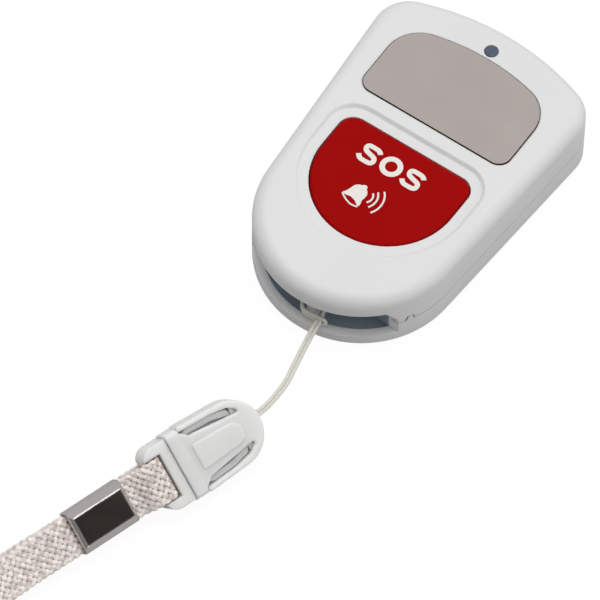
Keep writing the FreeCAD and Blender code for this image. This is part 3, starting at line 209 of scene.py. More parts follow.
# Moulded polycarbonate with a smoky dye: a dark, shiny dot.
smoked_lens = moulded("moulded_smoked_polycarbonate", "#566074", "#4E586C", 0.2, 0.5 * MM, 0.02)
# Moulded ABS in slate grey: the slot looks deep, with a soft gloss where the light reaches.
slate_liner = moulded("moulded_slate_abs", "#8A96A3", "#7E8A97", 0.5, 0.3 * MM, 0.2)
# Moulded nylon filled with glass fibre: nearly black, and dull.
black_nylon = moulded("moulded_glass_filled_nylon", "#1C1C1E", "#161618", 0.5, 0.15 * MM, 0.2)
# Lacquer printed on glass and epoxy board: a deep green with some gloss.
board_green = moulded("solder_mask_on_fr4", "#1D5A34", "#184E2D", 0.35, 0.4 * MM, 0.1)
# Epoxy cast round the diode: yellowish white, shiny and smooth.
led_resin = moulded("cast_clear_epoxy", "#E8E6D8", "#DEDCCB", 0.25, 0.3 * MM, 0.02)
# Moulded acetal without pigment: milky white with a waxy gloss.
milky_acetal = moulded("moulded_milky_acetal", "#F4F3F1", "#EEEDEB", 0.38, 0.4 * MM, 0.05,
                       edge=0.3 * MM)
print("plastics made")

# %% Metals
# Aluminium sheet blasted with glass beads: a warm grey that scatters light so evenly that a
# surface without a mirror stands for it.
satin_plate = moulded("bead_blasted_aluminium", "#B3A9A5", "#A79E9A", 0.5, 0.2 * MM, 0.3)
# Nickel plated on rolled steel: bright and slightly warm, with a blurred mirror.
nickel_plate = moulded("nickel_plated_steel", "#C6C2B8", "#BAB6AC", 0.3, 0.1 * MM, 0.1, 1.0)
# Zinc plated on steel: cooler and duller than nickel.
zinc_plate = moulded("zinc_plated_steel", "#A9ABB0", "#9C9EA4", 0.35, 0.1 * MM, 0.15, 1.0)
# Nickel plate that was polished: a nearly clear mirror.
clamp_nickel = moulded("polished_nickel_plate", "#DED8D6", "#D6D0CE", 0.16, 0.3 * MM, 0.02, 1.0)
print("metals made")

# %% [markdown]
# ## Three finishes that need more
#
# The face plate is stamped from sheet, and its cut edge stands in the shade of a narrow joint, so
# every face that doesn't point up is painted almost black, as painted shade. The clamp is pressed
# round the strap: its polished faces aren't quite flat, so dents a few millimetres wide bend what
# they mirror, and its folds are rounded. The buckle is acetal, which light enters and leaves again
# a little further on.
# That softness is subsurface scattering, nearly neutral because the plastic is white.

# %% Cut edge, pressed faces and milky depth
tree = satin_plate.node_tree
# Painted shade: the faces of the plate that don't point up, its cut edge, are coloured near black
# (#0C0908).
facing = add(tree, "ShaderNodeSeparateXYZ",
             {0: add(tree, "ShaderNodeTexCoord").outputs["Normal"]}).outputs["Z"]
flat = add(tree, "ShaderNodeMath", {0: facing, 1: 0.5}, operation="GREATER_THAN")
sheet = tree.nodes["Principled BSDF"].inputs["Base Color"].links[0].from_socket
painted_edge_shade = add(tree, "ShaderNodeMix", {0: flat.outputs[0], 6: colour("#0C0908"), 7: sheet},
            data_type="RGBA")
tree.links.new(painted_edge_shade.outputs[2], tree.nodes["Principled BSDF"].inputs["Base Color"])

tree = clamp_nickel.node_tree
relief = tree.nodes["Principled BSDF"].inputs["Normal"].links[0].from_node
soft_edge = add(tree, "ShaderNodeBevel", {"Radius": 0.5 * MM}, samples=8)
place = add(tree, "ShaderNodeTexCoord").outputs["Object"]
press = add(tree, "ShaderNodeTexNoise", {"Vector": place, "Scale": 1 / (5 * MM), "Detail": 0.0})
dents = add(tree, "ShaderNodeBump", {"Height": press.outputs["Fac"], "Distance": 0.15 * MM,
                                     "Normal": soft_edge.outputs["Normal"]})
tree.links.new(dents.outputs["Normal"], relief.inputs["Normal"])

milky = milky_acetal.node_tree.nodes["Principled BSDF"]
milky.inputs["Subsurface Weight"].default_value = 1.0
milky.inputs["Subsurface Radius"].default_value = (1.0, 0.99, 0.97)
milky.inputs["Subsurface Scale"].default_value = 1.8 * MM
print("plate, clamp and buckle finished")

# %% [markdown]
# ## Dressing the CAD pieces
#
# The pieces from the CAD model keep their shape and their place. Each only gets its material, by
# name, so a glance at the list tells what every piece is made of.

# %% Finishes onto the CAD nodes
FINISHES = {
    "front_cover": white_abs, "rear_cover": white_abs, "alarm_button": red_abs,
    "face_plate": satin_plate, "status_lens": smoked_lens, "slot_liner": slate_liner,
    "circuit_board": board_green, "switch_body": black_nylon, "switch_plunger": black_nylon,
    "status_led": led_resin, "radio_chip": black_nylon, "crystal": nickel_plate,
    "antenna": nickel_plate, "battery": nickel_plate, "battery_holder": black_nylon,
    "battery_clip": nickel_plate, "battery_contact": nickel_plate, "cover_screws": zinc_plate,
    "buckle_socket": milky_acetal, "buckle_plug": milky_acetal, "strap_clamp": clamp_nickel,
}
for node, finish in FINISHES.items():
    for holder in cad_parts[node].material_slots:
        holder.material = finish
print(len(FINISHES), "nodes finished")

# %% [markdown]
# ## Curves
#
# Cord bends evenly and never in corners, so every route is a NURBS curve of order three: it runs
# smoothly past its control points and stays within them. The second function reads the finished
# line back as points, for its length and for the shapes that follow it.

# %% Curve helpers


def new_route(name, points):
    """A smooth open NURBS curve whose control points are the given ones."""
    data = bpy.data.curves.new(name, "CURVE")
    data.dimensions = "3D"
    data.resolution_u = 16
    spline = data.splines.new("NURBS")
    spline.points.add(len(points) - 1)
    for spot, point in zip(spline.points, points):
        spot.co = (*point, 1)
    spline.order_u = 3
    spline.use_endpoint_u = True
    route = bpy.data.objects.new(name, data)
    bpy.context.scene.collection.objects.link(route)
    return route


def centre_line(route):
    """The points along a bare curve, and the length of the line through them."""
    bpy.context.view_layer.update()
    shape = route.evaluated_get(bpy.context.evaluated_depsgraph_get())
    mesh = bpy.data.meshes.new_from_object(shape)
    points = [vertex.co.copy() for vertex in mesh.vertices]
    length = sum((b - a).length for a, b in zip(points, points[1:]))
    bpy.data.meshes.remove(mesh)
    return points, length


# %% [markdown]
# ## The route of the string
#
# The string is one length of cord. It leaves the buckle, goes round the post in the case, through
# its own bight and back beside itself. A simulation could drop it on the floor, but it has to lie
# where the photographer laid it, so its control points are given one by one. The lanyard's own
# directions come first: along its line, across the strap's width, and out of the buckle's face.

# %% String's route
BUCKLE = Vector((4.6, -51.78, 3.6)) * MM
LEAN = math.radians(17.9)
STRAP_ROLL = math.radians(38.5)
LINE = (Matrix.Rotation(-math.pi / 2 - LEAN, 3, "Z")
        @ Matrix.Rotation(-STRAP_ROLL, 3, "X"))
ALONG, ACROSS, OUT = LINE.transposed()
BORE = BUCKLE + OUT * 2.2 * MM
POST = Vector((0.9, -28.15, 0)) * MM

HALF_PITCH = 0.33 * MM
BORE_SHIFT = 0.2 * MM
STRAND = [(6.2, -47.3, 4.8), (6.0, -43.6, 4.2), (4.95, -39.2, 3.8), (4.0, -34.4, 3.9),
          (3.45, -30.2, 4.1)]
TURN = [(2.3, -0.1, 0), (1.0, 2.0, 0.05), (-1.3, 1.6, 0), (-2.1, -0.5, -0.05),
        (-0.8, -2.2, 0.05), (1.7, -2.0, 0)]
LOW_TURN, HIGH_TURN = 3.7, 4.5
BIGHT = [Vector((4.6, -30.0, 3.35)) * MM, Vector((4.6, -30.0, 4.85)) * MM]


def strand(side):
    """The string from inside the buckle to its bight, to one side of its partner."""
    half = side * HALF_PITCH
    bore = ACROSS * (half - BORE_SHIFT)
    return ([BORE + ALONG * 2.4 * MM + bore, BORE - ALONG * 1.5 * MM + bore]
            + [Vector(point) * MM + Vector((half, 0, 0)) for point in STRAND])


def wrap(height):
    """Round the post from its right, behind it, and across its front."""
    return [POST + Vector((x, y, height + lift)) * MM for x, y, lift in TURN]


string_route = new_route("string_route", strand(-1) + wrap(LOW_TURN) + BIGHT
                         + wrap(HIGH_TURN)[::-1] + strand(1)[::-1])
print("the string's route has", len(string_route.data.splines[0].points), "control points")

# %% [markdown]
# ## The routes of the strap
#
# The strap has two lengths: a short tab folded round the buckle's bar, and a long loop whose two
# ends meet in the clamp. Both bend in one plane only, as a strap on its edge does, so their points
# are given as a profile: how far along the lanyard's line, and how far out.

# %% Strap's routes
TAB = [(31.8, 1.8), (28.9, 1.77), (25.1, 1.8), (22.6, 3.85), (21.05, 3.9), (18.75, 3.75),
       (18.7, 0.7), (21.15, 0.7), (25.1, 0.8), (28.9, 0.83), (31.8, 0.8)]
LOOP = [(32, 0.8), (35.8, 0.83), (40.5, 0.8), (47.3, -0.06), (62.3, -0.81), (87.3, -1.16),
        (117.3, -0.71), (139.3, -1.11), (151.3, -0.91), (159.3, 1.44), (160.8, 7.04),
        (155.3, 10.24), (143.3, 10.34), (121.3, 8.74), (97.3, 6.94), (74.3, 4.84), (56.8, 2.94),
        (46.8, 1.65), (40.5, 1.8), (35.8, 1.77), (32, 1.8)]


def laid(profile):
    """Points of a strap's edge-on profile, laid along the buckle's line."""
    return [BUCKLE + (ALONG * along + OUT * height) * MM for along, height in profile]


tab_route = new_route("tab_route", laid(TAB))
loop_route = new_route("loop_route", laid(LOOP))
print("tab and loop have", len(TAB), "and", len(LOOP), "control points")

# %% [markdown]
# ## How a tree begins and ends
#
# Strap and string are both made of strands that follow one route, so their two trees share three
# steps: the named inputs, copies of the route that each run a share of a turn ahead of the last,
# and a section swept along every strand, with its material.

# %% Shared steps


def new_tree(name, inputs):
    """A geometry tree with these inputs, given as names, kinds and numbers, and their sockets."""
    tree = bpy.data.node_groups.new(name, "GeometryNodeTree")
    face = tree.interface
    face.new_socket("Geometry", in_out="INPUT", socket_type="NodeSocketGeometry")
    for title, kind, number in inputs:
        socket = face.new_socket(title, in_out="INPUT", socket_type=kind)
        if number is not None:
            socket.default_value = number
    face.new_socket("Geometry", in_out="OUTPUT", socket_type="NodeSocketGeometry")
    return tree, add(tree, "NodeGroupInput").outputs


def strands(tree, line, count, repeat):
    """Copies of a line, and the angle at each point: one turn in each repeat along the line."""
    copies = add(tree, "GeometryNodeDuplicateElements", {"Geometry": line, "Amount": count},
                 domain="SPLINE")
    length = add(tree, "GeometryNodeSplineParameter").outputs["Length"]
    turn = add(tree, "ShaderNodeMath", {0: length, 1: repeat}, operation="DIVIDE")
    share = add(tree, "ShaderNodeMath", {0: copies.outputs["Duplicate Index"], 1: count},
                operation="DIVIDE")
    phase = add(tree, "ShaderNodeMath", {0: turn.outputs[0], 1: share.outputs[0]},
                operation="ADD")
    angle = add(tree, "ShaderNodeMath", {0: phase.outputs[0], 1: math.tau}, operation="MULTIPLY")
    return copies.outputs[0], angle.outputs[0]


def sweep(tree, lines, section, material):
    """The end of a tree: the section along every line, as a smooth and real mesh."""
    tubes = add(tree, "GeometryNodeCurveToMesh", {"Curve": lines, "Profile Curve": section,
                                                  "Fill Caps": True})
    smooth = add(tree, "GeometryNodeSetShadeSmooth", {"Geometry": tubes.outputs[0]})
    real = add(tree, "GeometryNodeRealizeInstances", {"Geometry": smooth.outputs[0]})
    finish = add(tree, "GeometryNodeSetMaterial", {"Geometry": real.outputs[0],
                                                   "Material": material})
    add(tree, "NodeGroupOutput", {0: finish.outputs[0]})


# %% [markdown]
# ## Strap: a flat braid
#
# The strap is plaited from eleven flat yarns. Each runs from edge to edge and back in a zigzag, and
# goes over and under the yarns that it meets. A picture or a bump on a ribbon would leave the edge
# straight, where the real one shows the turn of every yarn. So geometry nodes move each yarn's line
# sideways by a zigzag with eased corners: the arc sine of a sine that stops just short of one. A
# second width lets the tab spread where it folds.

# %% Yarns from edge to edge
BRAID = (("Yarns", "NodeSocketInt", 11), ("Width", "NodeSocketFloat", 7.4 * MM),
         ("Fold width", "NodeSocketFloat", 7.4 * MM), ("Repeat", "NodeSocketFloat", 14.2 * MM),
         ("Yarn width", "NodeSocketFloat", 0.9 * MM),
         ("Yarn thickness", "NodeSocketFloat", 0.42 * MM), ("Lift", "NodeSocketFloat", 0.2 * MM),
         ("Step", "NodeSocketFloat", 0.3 * MM), ("Across", "NodeSocketVector", None),
         ("Material", "NodeSocketMaterial", None))
SHARPNESS = 0.985  # of the zigzag's corners, where 1 is a point


def braid_swing(tree, given, angle):
    """How far a yarn is from the middle of the strap, to one side or the other."""
    swing = add(tree, "ShaderNodeMath", {0: angle}, operation="SINE")
    eased = add(tree, "ShaderNodeMath", {0: swing.outputs[0], 1: SHARPNESS},
                operation="MULTIPLY")
    zigzag = add(tree, "ShaderNodeMath", {0: eased.outputs[0]}, operation="ARCSINE")
    factor = add(tree, "GeometryNodeSplineParameter").outputs["Factor"]
    arch = add(tree, "ShaderNodeMath", {0: factor, 1: math.pi}, operation="MULTIPLY")
    hump = add(tree, "ShaderNodeMath", {0: arch.outputs[0]}, operation="SINE")
    spread = add(tree, "ShaderNodeMapRange", {"Value": hump.outputs[0], "To Min": given["Width"],
                                              "To Max": given["Fold width"]})
    reach = add(tree, "ShaderNodeMath", {0: spread.outputs[0], 1: given["Yarn width"]},
                operation="SUBTRACT")
    half = add(tree, "ShaderNodeMath", {0: reach.outputs[0], 1: 0.5 / math.asin(SHARPNESS)},
               operation="MULTIPLY")
    return add(tree, "ShaderNodeMath", {0: zigzag.outputs[0], 1: half.outputs[0]},
               operation="MULTIPLY").outputs[0]


# %% [markdown]
# ## Over and under
#
# A yarn meets every other one twice in a repeat, so it rises and falls by a wave that beats once
# for each yarn. The yarns that run to the left use the wave and the ones that run to the right use
# its opposite, so that wherever two cross, one is up and the other down.

# %% Yarns over and under


def braid_rise(tree, given, angle):
    """How far a yarn is above or below the strap's middle."""
    heading = add(tree, "ShaderNodeMath", {0: angle}, operation="COSINE")
    steep = add(tree, "ShaderNodeMath", {0: given["Yarns"], 1: 1 / math.pi},
                operation="MULTIPLY")
    way = add(tree, "ShaderNodeMath", {0: heading.outputs[0], 1: steep.outputs[0]},
              operation="MULTIPLY")
    sign = add(tree, "ShaderNodeClamp", {"Value": way.outputs[0], "Min": -1.0, "Max": 1.0})
    quarter = add(tree, "ShaderNodeMath", {0: angle, 1: math.pi / 2}, operation="ADD")
    fast = add(tree, "ShaderNodeMath", {0: quarter.outputs[0], 1: given["Yarns"]},
               operation="MULTIPLY")
    wave = add(tree, "ShaderNodeMath", {0: fast.outputs[0]}, operation="COSINE")
    over = add(tree, "ShaderNodeMath", {0: wave.outputs[0], 1: sign.outputs[0]},
               operation="MULTIPLY")
    return add(tree, "ShaderNodeMath", {0: over.outputs[0], 1: given["Lift"]},
               operation="MULTIPLY").outputs[0]


# %% [markdown]
# ## The braid's tree
#
# The strap's own directions are the route's tangent, the way across, and the way out of its face.
# The last is kept before the yarns are moved, because each yarn's flat section has to lie in the
# strap's face while the yarn runs slantwise through it.

# %% Braid tree


def braid_tree():
    """Geometry nodes that plait a flat braid along a curve."""
    tree, given = new_tree("flat_braid", BRAID)
    steps = add(tree, "GeometryNodeResampleCurve", {"Curve": given["Geometry"],
                                                    "Length": given["Step"]}, mode="LENGTH")
    yarns, angle = strands(tree, steps.outputs[0], given["Yarns"], given["Repeat"])
    tangent = add(tree, "GeometryNodeInputTangent").outputs[0]
    out = add(tree, "ShaderNodeVectorMath", {0: tangent, 1: given["Across"]},
              operation="CROSS_PRODUCT")
    keep = add(tree, "GeometryNodeCaptureAttribute", {0: yarns})
    keep.capture_items.new("VECTOR", "Out")
    tree.links.new(out.outputs[0], keep.inputs[1])
    side_move = add(tree, "ShaderNodeVectorMath",
                    {0: given["Across"], "Scale": braid_swing(tree, given, angle)},
                    operation="SCALE")
    out_move = add(tree, "ShaderNodeVectorMath",
                   {0: out.outputs[0], "Scale": braid_rise(tree, given, angle)},
                   operation="SCALE")
    move = add(tree, "ShaderNodeVectorMath", {0: side_move.outputs[0], 1: out_move.outputs[0]},
               operation="ADD")
    placed = add(tree, "GeometryNodeSetPosition", {"Geometry": keep.outputs[0],
                                                   "Offset": move.outputs[0]})
    slant = add(tree, "GeometryNodeInputTangent").outputs[0]
    lean = add(tree, "ShaderNodeVectorMath", {0: keep.outputs[1], 1: slant}, operation="PROJECT")
    square = add(tree, "ShaderNodeVectorMath", {0: keep.outputs[1], 1: lean.outputs[0]},
                 operation="SUBTRACT")
    faced = add(tree, "GeometryNodeSetCurveNormal", {"Curve": placed.outputs[0],
                                                     "Normal": square.outputs[0]}, mode="FREE")
    ring = add(tree, "GeometryNodeCurvePrimitiveCircle", {"Resolution": 8, "Radius": 0.5})
    section = add(tree, "ShaderNodeCombineXYZ", {0: given["Yarn thickness"],
                                                 1: given["Yarn width"], 2: 1.0})
    oval = add(tree, "GeometryNodeTransform", {"Geometry": ring.outputs["Curve"],
                                               "Scale": section.outputs[0]})
    sweep(tree, faced.outputs[0], oval.outputs[0], given["Material"])
    return tree


# %% [markdown]
# ## From a tree to a mesh
#
# The modifier is only a mould: it makes the shape once, the result is kept as a plain mesh, and the
# modifier goes. The inputs are set through the sockets' own identifiers, found by name.

# %% Grow


def grow(route, tree, name, values):
    """Runs a tree on a route with the given inputs, and returns the result as a mesh object."""
    modifier = route.modifiers.new("grow", "NODES")
    modifier.node_group = tree
    for item in tree.interface.items_tree:
        if item.in_out == "INPUT" and item.name in values:
            modifier[item.identifier] = values[item.name]
    bpy.context.view_layer.update()
    shape = route.evaluated_get(bpy.context.evaluated_depsgraph_get())
    mesh = bpy.data.meshes.new_from_object(shape)
    route.modifiers.remove(modifier)
    piece = bpy.data.objects.new(name, mesh)
    bpy.context.scene.collection.objects.link(piece)
    print(name, len(mesh.polygons), "faces")
    return piece


# %% [markdown]
# ## The yarns' finish
#
# Polyester filament is shiny, and each crossing catches the light by itself: a noise about as wide
# as a crossing paints some yarns lighter than others, as painted glints. The gaps between yarns are
# painted warm and dark as shade, where ambient occlusion finds them. Real filaments are 0.02 mm
# thick, too fine to show, so the bump draws hairs of 0.1 mm.

# %% Braided polyester
CROSSING = 0.75 * MM
HAIR = 0.1 * MM
webbing, tree, shader = start_material("braided_polyester", "#E4D9D1", 0.28)
place = add(tree, "ShaderNodeTexCoord").outputs["Object"]
# Painted glints: a noise lightens the colour of some crossings towards #FFF8F3.
glint = add(tree, "ShaderNodeTexNoise", {"Vector": place, "Scale": 1 / CROSSING, "Detail": 0.0})
glint = add(tree, "ShaderNodeMapRange", {"Value": glint.outputs["Fac"], "From Min": 0.32,
                                         "From Max": 0.68})
crown = add(tree, "ShaderNodeMix", {0: glint.outputs[0], 6: colour("#D6C9C1"),
                                    7: colour("#FFF8F3")}, data_type="RGBA")
# Painted shade: ambient occlusion darkens the gaps between yarns towards #857063.
shelter = add(tree, "ShaderNodeAmbientOcclusion", {"Distance": 0.5 * MM}, samples=8)
depth = add(tree, "ShaderNodeMapRange", {"Value": shelter.outputs["AO"], "From Min": 0.3,
                                         "From Max": 0.7})
painted_glints_and_gap_shade = add(tree, "ShaderNodeMix", {0: depth.outputs[0], 6: colour("#857063"),
                                   7: crown.outputs[2]}, data_type="RGBA")
hair = add(tree, "ShaderNodeTexNoise", {"Vector": place, "Scale": 1 / HAIR})
relief = add(tree, "ShaderNodeBump", {"Height": hair.outputs["Fac"], "Strength": 0.3,
                                      "Distance": 0.02 * MM})
tree.links.new(painted_glints_and_gap_shade.outputs[2], shader.inputs["Base Color"])
tree.links.new(relief.outputs["Normal"], shader.inputs["Normal"])
print("webbing has", len(tree.nodes), "nodes")

# %% [markdown]
# ## The tab and the loop
#
# Both lengths grow from the same tree on their own routes. They stand in for the plain solids that
# the CAD model uses for their weight, and the tab spreads to the nominal width where it folds.

# %% Tab and loop
NOMINAL_WIDTH = 8 * MM
braid = braid_tree()
tab_length = centre_line(tab_route)[1]
loop_line, loop_length = centre_line(loop_route)
strap_tab = grow(tab_route, braid, "strap_tab_braid",
                 {"Across": tuple(ACROSS), "Material": webbing, "Fold width": NOMINAL_WIDTH})
strap_loop = grow(loop_route, braid, "strap_loop_braid",
                  {"Across": tuple(ACROSS), "Material": webbing})
print("tab", round(tab_length / MM, 1), "loop", round(loop_length / MM, 1), "mm")
for piece, node in ((strap_tab, "strap_tab"), (strap_loop, "strap_loop")):
    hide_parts(node)
    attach(piece, "case")

# %% [markdown]
# ## String: three plies laid together
#
# The string is nylon cord: three plies twisted round each other, one turn in 1.3 mm. Modelling one
# turn and repeating it along the curve would stretch it at the bends. The nodes instead lay three
# copies of the whole route round it, each turned by a third, and give each a round section. The
# plies sink into each other a little, as soft ones do under their twist.

# %% Laid cord tree
STRING = 0.65 * MM
PLY_REACH = 0.21  # from the string's middle to a ply's, as a share of the diameter
PLY_RADIUS = 0.29  # the same share, for half a ply's thickness
LAID_CORD = (("Plies", "NodeSocketInt", 3), ("Lay", "NodeSocketFloat", 1.3 * MM),
             ("Diameter", "NodeSocketFloat", STRING), ("Step", "NodeSocketFloat", 0.12 * MM),
             ("Material", "NodeSocketMaterial", None))


def laid_cord_tree():
    """Geometry nodes that lay plies round a curve."""
    tree, given = new_tree("laid_cord", LAID_CORD)
    steps = add(tree, "GeometryNodeResampleCurve", {"Curve": given["Geometry"],
                                                    "Length": given["Step"]}, mode="LENGTH")
    calm = add(tree, "GeometryNodeSetCurveNormal", {"Curve": steps.outputs[0]},
               mode="MINIMUM_TWIST")
    plies, angle = strands(tree, calm.outputs[0], given["Plies"], given["Lay"])
    tangent = add(tree, "GeometryNodeInputTangent").outputs[0]
    normal = add(tree, "GeometryNodeInputNormal").outputs[0]
    spoke = add(tree, "ShaderNodeVectorRotate", {"Vector": normal, "Axis": tangent,
                                                 "Angle": angle}, rotation_type="AXIS_ANGLE")
    reach = add(tree, "ShaderNodeMath", {0: given["Diameter"], 1: PLY_REACH},
                operation="MULTIPLY")
    move = add(tree, "ShaderNodeVectorMath", {0: spoke.outputs[0], "Scale": reach.outputs[0]},
               operation="SCALE")
    placed = add(tree, "GeometryNodeSetPosition", {"Geometry": plies, "Offset": move.outputs[0]})
    radius = add(tree, "ShaderNodeMath", {0: given["Diameter"], 1: PLY_RADIUS},
                 operation="MULTIPLY")
    ring = add(tree, "GeometryNodeCurvePrimitiveCircle", {"Resolution": 8,
                                                          "Radius": radius.outputs[0]})
    sweep(tree, placed.outputs[0], ring.outputs["Curve"], given["Material"])
    return tree


# %% Twisted string
string_line, string_length = centre_line(string_route)
string_fibre = moulded("twisted_nylon", "#E6E4DB", "#DDDBD1", 0.5, 0.1 * MM, 0.2)
string = grow(string_route, laid_cord_tree(), "string_laid", {"Material": string_fibre})
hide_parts("string")
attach(string, "case")
for spare in (tab_route, loop_route, string_route):
    bpy.data.objects.remove(spare)
print("string", round(string_length / MM, 1), "mm")

# %% [markdown]
# ## Ribs behind the latches
#
# Each window of the buckle ends in a web under the latch and a stop before its tip, as the mould
# leaves them. They are a few square millimetres that nobody looks at for long, so flat prisms drawn
# by their corners are enough, along, across and out of the buckle's face.

# %% Latch ribs
WEB = [(2.9, 2.7), (2.9, 3.45), (4.5, 4.5), (5.4, 4.8), (5.4, 3.05)]
STOP = [(2.9, 2.7), (2.9, 3.45), (4.05, 4.2), (4.05, 2.7)]
WEB_HEIGHTS = (0.1, 0.8)
STOP_HEIGHTS = (0.7, 3.5)
ribs = bmesh.new()
for side, corners, heights in ((1, WEB, WEB_HEIGHTS), (-1, WEB, WEB_HEIGHTS),
                               (1, STOP, STOP_HEIGHTS), (-1, STOP, STOP_HEIGHTS)):
    low, high = [[ribs.verts.new(BUCKLE + (ALONG * along + ACROSS * across * side
                                           + OUT * height) * MM) for along, across in corners]
                 for height in heights]
    ribs.faces.new(low)
    ribs.faces.new(high)
    for place in range(len(corners)):
        ribs.faces.new((low[place - 1], low[place], high[place], high[place - 1]))
bmesh.ops.recalc_face_normals(ribs, faces=ribs.faces)
rib_mesh = bpy.data.meshes.new("latch_ribs")
ribs.to_mesh(rib_mesh)
ribs.free()
latch_ribs = bpy.data.objects.new("latch_ribs", rib_mesh)
bpy.context.scene.collection.objects.link(latch_ribs)
rib_mesh.materials.append(milky_acetal)
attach(latch_ribs, "case")
print("latch ribs have", len(rib_mesh.polygons), "faces")

# %% [markdown]
# ## The print on the button
#
# The mark is a pad print: a layer of thick white ink a few hundredths of a millimetre high. A
# picture on a plane would blur up close and a font would bring its own letter shapes, so the
# strokes are drawn here, as a sign painter would: a centre line for each, given a width. The ink's
# height is taken from the CAD button, and it starts a little under the face so that no gap shows.

# %% Pen strokes and filled shapes
INK_SINK, INK_STAND = 0.02 * MM, 0.03 * MM
button_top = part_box("alarm_button")[1][2]
ink_low, ink_high = button_top - INK_SINK, button_top + INK_STAND
ink = bmesh.new()


def close_prism(rings):
    """Joins a row of cross sections, each of four corners, and caps the two ends."""
    for first, second in zip(rings, rings[1:]):
        for side in range(4):
            ink.faces.new((first[side], first[side - 1], second[side - 1], second[side]))
    if rings[0] is not rings[-1]:
        ink.faces.new(rings[0])
        ink.faces.new(rings[-1][::-1])


def stroke(points, width, closed=False):
    """A pen stroke of constant width, along a smooth line or round a closed ring of vectors."""
    if closed:
        spine = points
    else:
        guide = new_route("stroke", [Vector((x, y, 0)) * MM for x, y in points])
        spine = centre_line(guide)[0]
        bpy.data.objects.remove(guide)
    rings = []
    count = len(spine)
    for place in range(count):
        before = spine[place - 1] if closed or place else spine[place]
        after = spine[(place + 1) % count] if closed or place < count - 1 else spine[place]
        heading = (after - before).normalized()
        half = Vector((-heading.y, heading.x, 0)) * width * MM / 2
        here = spine[place]
        rings.append([ink.verts.new((*(here + shift).xy, height)) for shift, height in
                      ((half, ink_high), (half, ink_low), (-half, ink_low), (-half, ink_high))])
    close_prism(rings + rings[:1] if closed else rings)


def fill(outline):
    """A flat filled shape."""
    top = [ink.verts.new((x * MM, y * MM, ink_high)) for x, y in outline]
    bottom = [ink.verts.new((x * MM, y * MM, ink_low)) for x, y in outline]
    ink.faces.new(top)
    ink.faces.new(bottom[::-1])
    for place in range(len(outline)):
        ink.faces.new((top[place - 1], bottom[place - 1], bottom[place], top[place]))


# %% [markdown]
# ## The letters and the bell
#
# One spine serves both S's, an ellipse is the O, and the bell is an outline with a thin rim below
# it. The three sound waves are arcs of growing radius. All sizes are millimetres on the button.

# %% Letters, bell and waves
S_CENTRES = [(-5.28, -2.87), (3.58, -2.87)]
S_SPINE = [(1.6, 0.95), (1.25, 1.5), (-0.1, 1.54), (-1.18, 1.5), (-1.18, 0.42), (0.05, 0.08),
           (1.35, -0.25), (1.35, -1.5), (0, -1.58), (-1.15, -1.55), (-1.6, -0.85)]
O_CENTRE = (-0.83, -2.82)
O_REACH = (1.56, 1.54)
O_STEPS = 48
BELL = [(-4.78, -11.7), (-4.3, -10.9), (-4.0, -9.9), (-3.75, -9.25), (-3.3, -8.85), (-2.72, -8.68),
        (-2.5, -8.42), (-2.07, -8.32), (-1.72, -8.55), (-1.68, -8.92), (-1.25, -9.28),
        (-0.98, -9.85), (-0.97, -10.5), (-1.1, -11.2), (-0.85, -12.1), (-1.02, -12.7),
        (-1.35, -12.42), (-2.1, -11.88), (-3.1, -11.6), (-4.1, -11.78)]
BELL_RIM = [(-4.72, -11.72), (-4.0, -12.3), (-2.6, -12.85), (-1.75, -12.9), (-1.0, -12.68)]
WAVES = [(-1.24, -10.07, 1.41, -45, 58), (-1.62, -10.18, 2.63, -35, 47),
         (-1.59, -10.26, 3.74, -35, 47)]
WAVE_STEP = 8
S_WIDTH, O_WIDTH, RIM_WIDTH, WAVE_WIDTH = 0.88, 0.96, 0.29, 0.33

for centre_x, centre_y in S_CENTRES:
    stroke([(centre_x + x, centre_y + y) for x, y in S_SPINE], S_WIDTH)
ring = [(O_CENTRE[0] + O_REACH[0] * math.cos(math.tau * step / O_STEPS),
         O_CENTRE[1] + O_REACH[1] * math.sin(math.tau * step / O_STEPS))
        for step in range(O_STEPS)]
stroke([Vector((x, y, 0)) * MM for x, y in ring], O_WIDTH, closed=True)
fill(BELL[::-1])
stroke(BELL_RIM, RIM_WIDTH)
for centre_x, centre_y, reach, low, high in WAVES:
    turns = [math.radians(turn) for turn in range(low, high + 1, WAVE_STEP)]
    stroke([(centre_x + reach * math.cos(turn), centre_y + reach * math.sin(turn))
            for turn in turns], WAVE_WIDTH)
bmesh.ops.recalc_face_normals(ink, faces=ink.faces)
mark_mesh = bpy.data.meshes.new("button_print")
ink.to_mesh(mark_mesh)
ink.free()
mark = bpy.data.objects.new("button_print", mark_mesh)
bpy.context.scene.collection.objects.link(mark)
# Thick ink pressed on by a soft pad: an even, chalky white that stands a little proud.
pad_ink = moulded("pad_printed_white_ink", "#EEEAE4", "#E8E4DE", 0.45, 0.2 * MM, 0.05)
mark_mesh.materials.append(pad_ink)
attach(mark, "button")
print("print has", len(mark_mesh.polygons), "faces")

# %% [markdown]
# ## The floor
#
# A catalogue picture is taken on white paper, lit until it is as white as the page. To the camera
# this floor glows and keeps a trace of the shadow, and to everything else it is plain paper. Lamps
# alone could bleach it as well, but they would bleach the white case with it.

